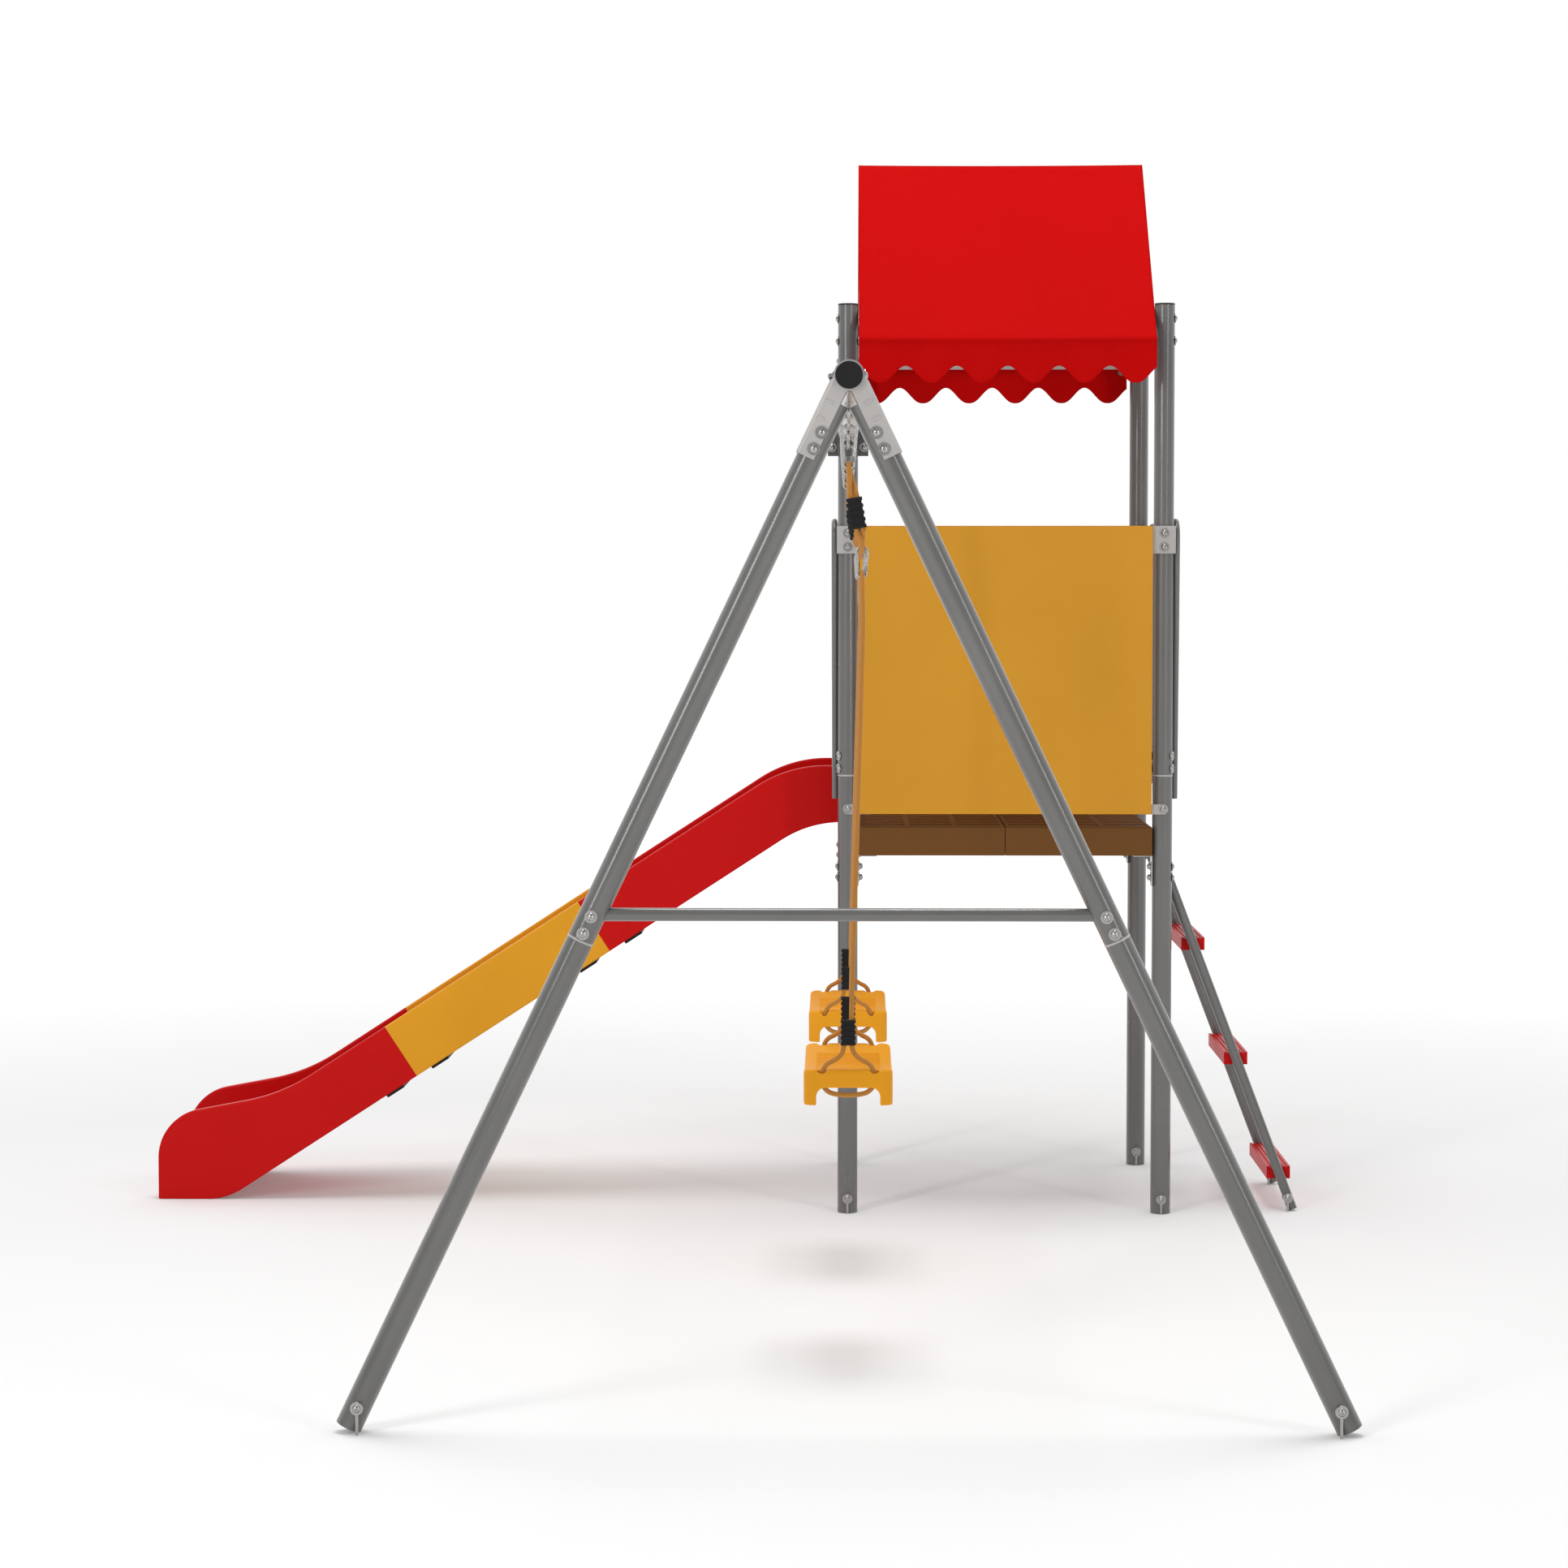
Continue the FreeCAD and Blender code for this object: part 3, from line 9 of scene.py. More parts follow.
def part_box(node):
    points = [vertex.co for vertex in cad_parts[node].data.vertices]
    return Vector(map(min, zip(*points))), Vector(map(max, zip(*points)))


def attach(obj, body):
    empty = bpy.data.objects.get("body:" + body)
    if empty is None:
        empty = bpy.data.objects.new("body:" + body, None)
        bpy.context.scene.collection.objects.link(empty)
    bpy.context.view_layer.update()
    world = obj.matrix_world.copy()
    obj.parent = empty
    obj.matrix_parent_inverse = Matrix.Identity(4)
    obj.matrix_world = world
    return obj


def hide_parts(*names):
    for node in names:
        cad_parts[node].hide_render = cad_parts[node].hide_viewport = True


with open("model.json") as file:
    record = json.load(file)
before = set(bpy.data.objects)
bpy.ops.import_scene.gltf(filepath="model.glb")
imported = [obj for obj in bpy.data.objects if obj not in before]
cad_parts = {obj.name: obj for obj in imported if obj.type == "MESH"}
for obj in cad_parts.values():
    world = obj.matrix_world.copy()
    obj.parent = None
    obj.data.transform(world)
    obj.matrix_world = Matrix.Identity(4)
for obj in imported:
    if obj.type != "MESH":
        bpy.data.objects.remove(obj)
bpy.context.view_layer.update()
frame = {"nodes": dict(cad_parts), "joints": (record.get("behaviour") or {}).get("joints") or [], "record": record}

bl_info = {
    "name": "Garden play set",
    "version": (1, 0, 0),
    "blender": (4, 5, 0),
    "location": "3D View > Sidebar > Play set",
    "description": "Soft pieces, small fittings and finishes of a swing bay and slide tower",
    "category": "Object",
}

BASE = "play_set"
ROPE_ENDS = ("front", "back")
SWINGS = (1, 2)
UP = Vector((0, 0, 1))
SLING_LENGTH = 0.3776
ROPE_LENGTH = 1.3891
LEG_SPREAD = 0.949
BEAM_HEIGHT = 1.986
LEG_SEAM = 1.166


# ------------------------------------------------------------ places read from the frame

def middle_of(node):
    low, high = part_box(node)
    return (low + high) / 2


def pivot_of(number):
    for joint in frame["joints"]:
        if joint["name"] == f"swing_{number}_pivot":
            return Vector(joint["pos_m"])
    raise RuntimeError("the frame has no pivot for this swing")


BEAM = Vector((pivot_of(1).x, 0, middle_of("swing_beam").z))
CANOPY_LOW, CANOPY_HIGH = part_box("canopy")
POSTS = [middle_of(f"post_lower_{row}_{side}") for row in ("front", "back") for side in ("left", "right")]


# ------------------------------------------------------------ shader expressions

# A colour Mix node's own sockets, by index, because its names repeat for every kind of value.
MIX_FACTOR, MIX_LOW, MIX_HIGH = 0, 6, 7
MIX_RESULT = 2


class Value:
    """A socket that takes part in Python arithmetic by adding Math nodes."""

    def __init__(self, paint, socket):
        self.paint = paint
        self.socket = socket

    def math(self, operation, *others):
        inputs = {index: other for index, other in enumerate((self,) + others)}
        return self.paint.node("ShaderNodeMath", {"operation": operation}, inputs)[0]

    def __add__(self, other):
        return self.math("ADD", other)

    __radd__ = __add__

    def __mul__(self, other):
        return self.math("MULTIPLY", other)

    __rmul__ = __mul__

    def __sub__(self, other):
        return self.math("SUBTRACT", other)

    def __rsub__(self, other):
        return self.math("MULTIPLY", -1.0).math("ADD", other)

    def sine(self):
        return self.math("SINE")

    def size_only(self):
        return self.math("ABSOLUTE")

    def clipped(self):
        return self.paint.node("ShaderNodeClamp", {}, {0: self})[0]


class Paint:
    """A new material with its Principled shader, and one way to add any other node."""

    def __init__(self, name, base, roughness, metallic=0.0):
        self.material = bpy.data.materials.new(name)
        self.material.use_nodes = True
        self.tree = self.material.node_tree
        self.shader = self.tree.nodes["Principled BSDF"]
        self.shader.inputs["Base Color"].default_value = (*base, 1.0)
        self.shader.inputs["Roughness"].default_value = roughness
        self.shader.inputs["Metallic"].default_value = metallic
        self.coordinates = self.tree.nodes.new("ShaderNodeTexCoord")

    def node(self, kind, settings, inputs):
        made = self.tree.nodes.new(kind)
        for key, setting in settings.items():
            setattr(made, key, setting)
        for key, given in inputs.items():
            if isinstance(given, Value):
                self.tree.links.new(given.socket, made.inputs[key])
            else:
                made.inputs[key].default_value = given
        return [Value(self, socket) for socket in made.outputs]

    def place(self):
        return Value(self, self.coordinates.outputs["Object"])

    def cloth_place(self):
        return Value(self, self.coordinates.outputs["UV"])

    def axes(self, place):
        return self.node("ShaderNodeSeparateXYZ", {}, {0: place})

    def noise(self, place, scale, detail=2.0, roughness=0.5):
        inputs = {"Vector": place, "Scale": scale, "Detail": detail, "Roughness": roughness}
        return self.node("ShaderNodeTexNoise", {}, inputs)[0]

    def tinted(self, mask, low, high, socket):
        inputs = {MIX_FACTOR: mask, MIX_LOW: (*low, 1.0), MIX_HIGH: (*high, 1.0)}
        mixed = self.node("ShaderNodeMix", {"data_type": "RGBA"}, inputs)[MIX_RESULT]
        self.tree.links.new(mixed.socket, self.shader.inputs[socket])

    def colour(self, mask, low, high):
        self.tinted(mask, low, high, "Base Color")

    def glow(self, mask, low, high):
        self.tinted(mask, low, high, "Emission Color")
        self.fixed("Emission Strength", 1.0)

    def rough(self, value):
        self.tree.links.new(value.socket, self.shader.inputs["Roughness"])

    def bump(self, height, distance, strength=1.0):
        inputs = {"Height": height, "Distance": distance, "Strength": strength}
        bumped = self.node("ShaderNodeBump", {}, inputs)[0]
        self.tree.links.new(bumped.socket, self.shader.inputs["Normal"])

    def fixed(self, socket, number):
        self.shader.inputs[socket].default_value = number


def shade(colour, factor):
    return tuple(min(1.0, part * factor) for part in colour)


def powder_coat(name, colour, roughness):
    """Baked powder paint: fine orange peel and a little settled dust."""
    paint = Paint(name, colour, roughness)
    place = paint.place()
    peel = paint.noise(place, 900.0, 3.0)
    dust = paint.noise(place, 6.0, 4.0)
    paint.colour((dust * 1.6 - 0.4).clipped(), shade(colour, 0.92), shade(colour, 1.12))
    paint.rough(dust * 0.10 + (roughness - 0.05))
    paint.bump(peel, 0.00012, 0.2)
    paint.fixed("Coat Weight", 0.45)
    paint.fixed("Coat Roughness", 0.16)
    return paint.material


def zinc_plate(name, colour):
    """Bright zinc: soft crystals and faint handling marks."""
    paint = Paint(name, colour, 0.28, 1.0)
    place = paint.place()
    crystals = paint.noise(place, 420.0, 2.0)
    marks = paint.noise(place, 45.0, 4.0)
    paint.colour(marks, shade(colour, 0.82), shade(colour, 1.1))
    paint.rough(crystals * 0.16 + 0.2)
    paint.bump(crystals, 0.00008, 0.35)
    return paint.material


def moulded_plastic(name, colour, roughness, grain=0.00012):
    """Moulded plastic: fine texture from the mould and slightly uneven colour."""
    paint = Paint(name, colour, roughness)
    place = paint.place()
    fine = paint.noise(place, 1300.0, 2.0)
    broad = paint.noise(place, 3.5, 3.0)
    paint.colour(broad, shade(colour, 0.93), shade(colour, 1.06))
    paint.rough(broad * 0.08 + fine * 0.05 + (roughness - 0.06))
    paint.bump(fine, grain, 0.45)
    paint.fixed("Specular IOR Level", 0.1)
    return paint.material


def woven_cloth(name, colour, threads_per_metre):
    """Coated plain weave: threads over and under, in the cloth's own directions."""
    paint = Paint(name, colour, 0.78)
    across, along = paint.axes(paint.cloth_place())[:2]
    turns = math.pi * threads_per_metre
    warp = (across * turns).sine()
    weft = (along * turns).sine()
    weave = warp * weft
    wear = paint.noise(paint.place(), 2.4, 4.0)
    paint.colour(wear, shade(colour, 0.9), shade(colour, 1.08))
    paint.rough(wear * 0.1 + 0.7)
    paint.bump(weave + wear * 0.8, 0.00035, 0.5)
    paint.fixed("Specular IOR Level", 0.02)
    return paint.material


def braided_rope(name, colour):
    """Braid: two sets of yarns that cross on the bias, with painted shade in the gaps between them."""
    paint = Paint(name, colour, 0.85)
    around, along = paint.axes(paint.cloth_place())[:2]
    yarns_around, yarns_along = 4.0, 1.3
    turn = 2 * math.pi
    left = ((around * yarns_around + along * yarns_along) * turn).sine().size_only()
    right = ((around * yarns_around - along * yarns_along) * turn).sine().size_only()
    yarn = left.math("MAXIMUM", right)
    # Painted shade: the colour darkens towards the gaps between the yarns, and the yarn crowns are a little
    # lighter than the rope's own colour.
    paint.colour((yarn * 1.5 - 0.35).clipped(), shade(colour, 0.55), shade(colour, 1.12))
    paint.bump(yarn, 0.0007, 0.8)
    paint.fixed("Sheen Weight", 0.2)
    return paint.material


# ------------------------------------------------------------ mesh helpers

def finish_piece(work, name, material, body, smooth=True):
    """Turn a bmesh into a piece that rides on a body."""
    mesh = bpy.data.meshes.new(name)
    work.to_mesh(mesh)
    work.free()
    piece = bpy.data.objects.new(name, mesh)
    bpy.context.scene.collection.objects.link(piece)
    mesh.materials.append(material)
    if smooth:
        mesh.shade_smooth()
    else:
        mesh.shade_flat()
    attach(piece, body)
    return piece


def rounded_block(work, low, high, radius, segments=2):
    """Block between two corners, with rounded edges."""
    made = bmesh.ops.create_cube(work, size=1.0)["verts"]
    bmesh.ops.scale(work, vec=high - low, verts=made)
    bmesh.ops.translate(work, vec=(low + high) / 2, verts=made)
    edges = list({edge for vert in made for edge in vert.link_edges})
    bmesh.ops.bevel(work, geom=edges, offset=radius, offset_type="OFFSET", affect="EDGES",
                    segments=segments, profile=0.5, material=-1)


def tube_band(work, centre, axis, radius, length, thickness):
    """Thin rounded ring round a tube, spun from its section."""
    turn = UP.rotation_difference(axis).to_matrix()
    half = length / 2
    outer = radius + thickness
    outline = [(radius, -half), (outer, -half * 0.55), (outer, half * 0.55), (radius, half)]
    corners = [work.verts.new(centre + turn @ Vector((out, 0, up))) for out, up in outline]
    edges = [work.edges.new((a, b)) for a, b in zip(corners, corners[1:] + corners[:1])]
    bmesh.ops.spin(work, geom=corners + edges, cent=centre, axis=axis, angle=2 * math.pi, steps=40,
                   use_merge=True, use_duplicate=False)
    bmesh.ops.remove_doubles(work, verts=work.verts, dist=1e-6)
    bmesh.ops.recalc_face_normals(work, faces=work.faces)


def spline_points(name, route, resolution):
    """Points read from the NURBS line through a route's control points."""
    curve = bpy.data.curves.new(name + "_line", "CURVE")
    curve.dimensions = "3D"
    curve.resolution_u = resolution
    spline = curve.splines.new("NURBS")
    spline.points.add(len(route) - 1)
    for point, place in zip(spline.points, route):
        point.co = (*place, 1.0)
    spline.order_u = 3
    spline.use_endpoint_u = True
    holder = bpy.data.objects.new(name + "_line", curve)
    bpy.context.scene.collection.objects.link(holder)
    depsgraph = bpy.context.evaluated_depsgraph_get()
    mesh = bpy.data.meshes.new_from_object(holder.evaluated_get(depsgraph))
    points = [vert.co.copy() for vert in mesh.vertices]
    bpy.data.objects.remove(holder)
    bpy.data.curves.remove(curve)
    bpy.data.meshes.remove(mesh)
    return points


def sweep_round(work, points, radius, sides):
    """Round skin along a line of points, with a UV map that follows the rope."""
    layer = work.loops.layers.uv.new("UVMap")
    heading = (points[1] - points[0]).normalized()
    turn = UP.rotation_difference(heading).to_matrix().to_4x4()
    ring = bmesh.ops.create_circle(work, segments=sides, radius=radius, cap_ends=False,
                                   matrix=Matrix.Translation(points[0]) @ turn)["verts"]
    travelled = 0.0
    first_ring = ring
    for k in range(1, len(points)):
        step = points[k] - points[k - 1]
        if step.length < 1e-7:
            continue
        nearby = points[min(k + 1, len(points) - 1)] - points[k - 1]
        new_heading = nearby.normalized()
        swing = heading.rotation_difference(new_heading).to_matrix()
        edges = [ring[j].link_edges for j in range(sides)]
        loop = [next(e for e in edges[j] if ring[(j + 1) % sides] in e.verts) for j in range(sides)]
        grown = bmesh.ops.extrude_edge_only(work, edges=loop)["geom"]
        fresh = [item for item in grown if isinstance(item, bmesh.types.BMVert)]
        faces = [item for item in grown if isinstance(item, bmesh.types.BMFace)]
        matched = [next(e.other_vert(vert) for e in vert.link_edges if e.other_vert(vert) in fresh)
                   for vert in ring]
        bmesh.ops.translate(work, vec=step, verts=fresh)
        bmesh.ops.rotate(work, cent=points[k], matrix=swing, verts=fresh)
        order = {vert: (j, 0) for j, vert in enumerate(ring)}
        order.update({vert: (j, 1) for j, vert in enumerate(matched)})
        for face in faces:
            spots = [order[loop_item.vert] for loop_item in face.loops]
            wraps = {j for j, level in spots} == {0, sides - 1}
            for loop_item, (j, level) in zip(face.loops, spots):
                turned = sides if wraps and j == 0 else j
                loop_item[layer].uv = (turned / sides, (travelled + level * step.length) / (2 * radius))
        travelled += step.length
        heading = new_heading
        ring = matched
    bmesh.ops.contextual_create(work, geom=first_ring)
    bmesh.ops.contextual_create(work, geom=ring)
    bmesh.ops.recalc_face_normals(work, faces=work.faces)


# ------------------------------------------------------------ sizes and colours to change

class PlaySetLooks(bpy.types.PropertyGroup):
    steel: bpy.props.FloatVectorProperty(
        name="Tubes", description="Powder coat on the tubes", subtype="COLOR", size=3,
        default=(0.130, 0.128, 0.124))
    plates: bpy.props.FloatVectorProperty(
        name="Brackets", description="Powder coat on the brackets", subtype="COLOR", size=3,
        default=(0.42, 0.40, 0.39))
    cloth: bpy.props.FloatVectorProperty(
        name="Canopy", description="Cloth of the canopy", subtype="COLOR", size=3,
        default=(0.53, 0.003, 0.003))
    red: bpy.props.FloatVectorProperty(
        name="Red plastic", description="Slide ends and treads", subtype="COLOR", size=3,
        default=(0.56, 0.004, 0.004))
    yellow: bpy.props.FloatVectorProperty(
        name="Yellow plastic", description="Slide middle", subtype="COLOR", size=3,
        default=(0.74, 0.33, 0.018))
    seats: bpy.props.FloatVectorProperty(
        name="Seats", description="Moulded seats", subtype="COLOR", size=3,
        default=(0.79, 0.33, 0.014))
    panels: bpy.props.FloatVectorProperty(
        name="Panels", description="Panels of the tower", subtype="COLOR", size=3,
        default=(0.62, 0.29, 0.026))
    deck: bpy.props.FloatVectorProperty(
        name="Deck", description="Moulded deck", subtype="COLOR", size=3,
        default=(0.156, 0.066, 0.017))
    rope: bpy.props.FloatVectorProperty(
        name="Rope", description="Braided rope", subtype="COLOR", size=3,
        default=(0.46, 0.19, 0.022))


class CanopySizes(bpy.types.PropertyGroup):
    sag: bpy.props.FloatProperty(
        name="Sag", description="How far the cloth hangs between rafters", unit="LENGTH", default=0.016)
    thickness: bpy.props.FloatProperty(
        name="Cloth", description="Thickness of the cloth", unit="LENGTH", default=0.0012)
    valance: bpy.props.FloatProperty(
        name="Valance", description="Depth of the valance at a lobe", unit="LENGTH", default=0.108)
    notch: bpy.props.FloatProperty(
        name="Notch", description="Depth of the cut between two lobes", unit="LENGTH", default=0.043)
    pitch: bpy.props.FloatProperty(
        name="Lobe", description="Notch to notch", unit="LENGTH", default=0.128)


class RopeSizes(bpy.types.PropertyGroup):
    diameter: bpy.props.FloatProperty(
        name="Diameter", description="Rope diameter", unit="LENGTH", default=0.010)


# ------------------------------------------------------------ operators

FINISHES = {}


class PLAYSET_OT_finishes(bpy.types.Operator):
    """Give every hard piece of the frame its finish"""
    bl_idname = "playset.finishes"
    bl_label = "Finishes"

    def execute(self, context):
        looks = context.scene.play_set_looks
        FINISHES.update({
            "grey_steel": powder_coat("tube_paint", looks.steel, 0.26),
            "bracket_steel": powder_coat("bracket_paint", looks.plates, 0.42),
            "dark_steel": powder_coat("clamp_paint", (0.06, 0.06, 0.06), 0.4),
            "zinc_steel": zinc_plate("bright_zinc", (0.43, 0.42, 0.41)),
            "black_plastic": moulded_plastic("black_plastic", (0.018, 0.018, 0.018), 0.45),
            "brown_plastic": moulded_plastic("deck_plastic", looks.deck, 0.55, 0.0002),
            "yellow_panel": moulded_plastic("panel_plastic", looks.panels, 0.5),
            "red_plastic": moulded_plastic("red_plastic", looks.red, 0.36),
            "yellow_plastic": moulded_plastic("yellow_plastic", looks.yellow, 0.36),
            "seat_plastic": moulded_plastic("seat_plastic", looks.seats, 0.4),
            "rope": braided_rope("braided_rope", looks.rope),
            "red_fabric": woven_cloth("canopy_cloth", looks.cloth, 900.0),
        })
        for entry in frame["record"]["subparts"]:
            material = FINISHES[entry["material_slot"]]
            if entry["node"].endswith("_seat"):
                material = FINISHES["seat_plastic"]
            mesh = frame["nodes"][entry["node"]].data
            mesh.materials.clear()
            mesh.materials.append(material)
        return {"FINISHED"}


class PLAYSET_OT_canopy(bpy.types.Operator):
    """Sew the canopy: two slopes that sag between the rafters, and scalloped valances"""
    bl_idname = "playset.canopy"
    bl_label = "Canopy"

    def execute(self, context):
        sizes = context.scene.play_set_canopy
        low, high = CANOPY_LOW, CANOPY_HIGH
        middle = (low.y + high.y) / 2
        reach = (high.y - low.y) / 2
        eave = low.z + sizes.valance
        slope_length = math.hypot(reach, high.z - eave)
        half = (high.x - low.x) / 2
        centre_x = (high.x + low.x) / 2
        work = bmesh.new()
        layer = work.loops.layers.uv.new("UVMap")
        profile = [(-reach, low.z), (-reach, eave), (0.0, high.z), (reach, eave), (reach, low.z)]
        row = [work.verts.new((low.x, middle + y, z)) for y, z in profile]
        edges = [work.edges.new(pair) for pair in zip(row, row[1:])]
        grown = bmesh.ops.extrude_edge_only(work, edges=edges)["geom"]
        fresh = [item for item in grown if isinstance(item, bmesh.types.BMVert)]
        bmesh.ops.translate(work, vec=(2 * half, 0, 0), verts=fresh)
        upright = [e for e in work.edges if abs(e.verts[0].co.x - e.verts[1].co.x) > half]
        bmesh.ops.subdivide_edges(work, edges=upright, cuts=95, use_grid_fill=True)
        slanted = [e for e in work.edges if abs(e.verts[0].co.y - e.verts[1].co.y) > reach * 0.5]
        bmesh.ops.subdivide_edges(work, edges=slanted, cuts=39, use_grid_fill=True)
        hanging = [e for e in work.edges if abs(e.verts[0].co.z - e.verts[1].co.z) > sizes.valance * 0.9]
        bmesh.ops.subdivide_edges(work, edges=hanging, cuts=11, use_grid_fill=True)
        for face in work.faces:
            for corner in face.loops:
                y = corner.vert.co.y - middle
                along = y / reach * slope_length
                if corner.vert.co.z < eave - 1e-5:
                    along += math.copysign(eave - corner.vert.co.z, y)
                corner[layer].uv = (corner.vert.co.x, along)
        for vert in work.verts:
            across = vert.co.x - centre_x
            down = (eave - vert.co.z) / sizes.valance
            share = (vert.co.y - middle) / reach
            if down > 1e-4:
                wave = 0.5 + 0.5 * math.cos(2 * math.pi * across / sizes.pitch)
                cut = sizes.notch * wave ** 1.25
                vert.co.z = eave - down * (sizes.valance - cut)
                ripple = math.sin(across * 31.0 + share * 2.0) * 0.6 + math.sin(across * 77.0) * 0.4
                vert.co.y -= math.copysign(0.002 + 0.004 * down * (0.5 + 0.5 * ripple), share)
            else:
                span = max(0.0, 1.0 - (across / half) ** 2)
                fall = math.sin(math.pi * min(1.0, abs(share)))
                crease = 0.0008 * math.sin(across * 46.0 + 5.0 * share) * fall
                drop = sizes.sag * span * (0.35 + 0.65 * fall) + crease
                on_ridge = abs(share) <= 0.01
                vert.co.z -= drop * (0.4 if on_ridge else 1.0)
        cloth = finish_piece(work, "canopy_cloth", FINISHES["red_fabric"], BASE)
        thick = cloth.modifiers.new("cloth", "SOLIDIFY")
        thick.thickness = sizes.thickness
        thick.offset = -1.0
        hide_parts("canopy")
        return {"FINISHED"}


class PLAYSET_OT_canopy_seams(bpy.types.Operator):
    """Sew the raised seam along each eave of the canopy"""
    bl_idname = "playset.canopy_seams"
    bl_label = "Canopy seams"

    def execute(self, context):
        eave = CANOPY_LOW.z + context.scene.play_set_canopy.valance
        middle = (CANOPY_LOW.y + CANOPY_HIGH.y) / 2
        reach = (CANOPY_HIGH.y - CANOPY_LOW.y) / 2
        work = bmesh.new()
        for side in (-1, 1):
            fold = Vector((0, middle + side * (reach - 0.0015), eave))
            low = Vector((CANOPY_LOW.x + 0.004, fold.y - 0.0025, fold.z - 0.006))
            high = Vector((CANOPY_HIGH.x - 0.004, fold.y + 0.0015, fold.z + 0.003))
            rounded_block(work, low, high, 0.0012)
        seams = finish_piece(work, "canopy_eave_seams", FINISHES["red_fabric"], BASE)
        seams.data.uv_layers.new(name="UVMap")
        return {"FINISHED"}


def local_sling_route():
    """Control points of a sling, from the upper hook to the lower one, in millimetres."""
    top = Vector((0.0, 0.0, 1833.5))
    bottom = Vector((27.0, 0.0, 1675.5))
    down = (bottom - top).normalized()
    across = Vector((-down.z, 0.0, down.x))
    half, over, under = 7.0, 8.8, 7.8

    def spot(distance, side, y):
        return top + down * distance + across * (side * half) + Vector((0, y, 0))

    return [
        spot(96, -1, 0), spot(52, -1, 0), spot(20, -0.25, -over), top + Vector((0, -over, over)),
        top + Vector((0, over, over)), spot(20, 0.25, over), spot(52, 1, 0), spot(132, 1, 0),
        bottom + Vector((0, under, 12)), bottom + Vector((0, under, -under)),
        bottom + Vector((0, -under, -under)), bottom + Vector((0, -under, 12)),
        spot(132, -1, 0), spot(98, -1, 0),
    ]


def local_rope_route():
    """Control points of a seat rope, from the lower hook and through the seat, in millimetres."""
    eye = Vector((27.0, 0.0, 1615.5))
    over, half, hole, seat = 7.8, 6.2, 53.5, 622.0
    route = [
        eye + Vector((0, 6.2, -56)), eye + Vector((0, over, -22)), eye + Vector((0, over, over)),
        eye + Vector((0, -over, over)), eye + Vector((0, -over, -22)), eye + Vector((1, -4.4, -62)),
        eye + Vector((2, 0, -104)), Vector((half + 0.5, 0, seat + 124)), Vector((half, 0, seat + 88)),
        Vector((half, 0, seat + 40)), Vector((half + 18, 0, seat + 22)), Vector((hole - 8, 0, seat + 13)),
        Vector((hole, 0, seat - 8)), Vector((hole - 2, 0, seat - 34)), Vector((hole - 22, 0, seat - 50)),
    ]
    mirrored = [Vector((-point.x, point.y, point.z)) for point in reversed(route[9:])]
    return route + mirrored + [Vector((-half - 0.1, 0, seat + 96))]


class PLAYSET_OT_ropes(bpy.types.Operator):
    """Braid the four seat ropes and the four slings above them"""
    bl_idname = "playset.ropes"
    bl_label = "Ropes"

    def execute(self, context):
        diameter = context.scene.play_set_rope.diameter
        for kind, route, length in (("sling", local_sling_route(), SLING_LENGTH),
                                    ("rope", local_rope_route(), ROPE_LENGTH)):
            for number in SWINGS:
                for end in ROPE_ENDS:
                    node = f"swing_{number}_{kind}_{end}"
                    across = Vector((BEAM.x, middle_of(node).y, 0))
                    placed = [across + point / 1000 for point in route]
                    points = spline_points(node, placed, 10)
                    work = bmesh.new()
                    sweep_round(work, points, diameter / 2, 12)
                    piece = finish_piece(work, f"{node}_braid", FINISHES["rope"],
                                         f"swing_{number}")
                    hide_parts(node)
                    "taut" if kind == "sling" else "hanging"
        return {"FINISHED"}


class PLAYSET_OT_deck_tops(bpy.types.Operator):
    """Mould the deck surface: a raised grid round shallow rectangular recesses"""
    bl_idname = "playset.deck_tops"
    bl_label = "Deck tops"

    def execute(self, context):
        for side in ("left", "right"):
            low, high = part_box(f"deck_module_{side}")
            work = bmesh.new()
            grid = bmesh.ops.create_grid(work, x_segments=3, y_segments=8, size=0.5)["verts"]
            span = high - low
            bmesh.ops.scale(work, vec=(span.x - 0.006, span.y - 0.006, 1.0), verts=grid)
            centre = (low + high) / 2
            bmesh.ops.translate(work, vec=(centre.x, centre.y, high.z + 0.0026), verts=grid)
            cells = list(work.faces)
            bmesh.ops.inset_individual(work, faces=cells, thickness=0.009, depth=0.0)
            bmesh.ops.inset_individual(work, faces=cells, thickness=0.0016, depth=-0.0018)
            rim = [edge for edge in work.edges if edge.is_boundary]
            skirt = bmesh.ops.extrude_edge_only(work, edges=rim)["geom"]
            hem = [item for item in skirt if isinstance(item, bmesh.types.BMVert)]
            bmesh.ops.translate(work, vec=(0, 0, -0.0025), verts=hem)
            bmesh.ops.recalc_face_normals(work, faces=work.faces)
            finish_piece(work, f"deck_top_{side}", FINISHES["brown_plastic"], BASE,
                         smooth=False)
        return {"FINISHED"}


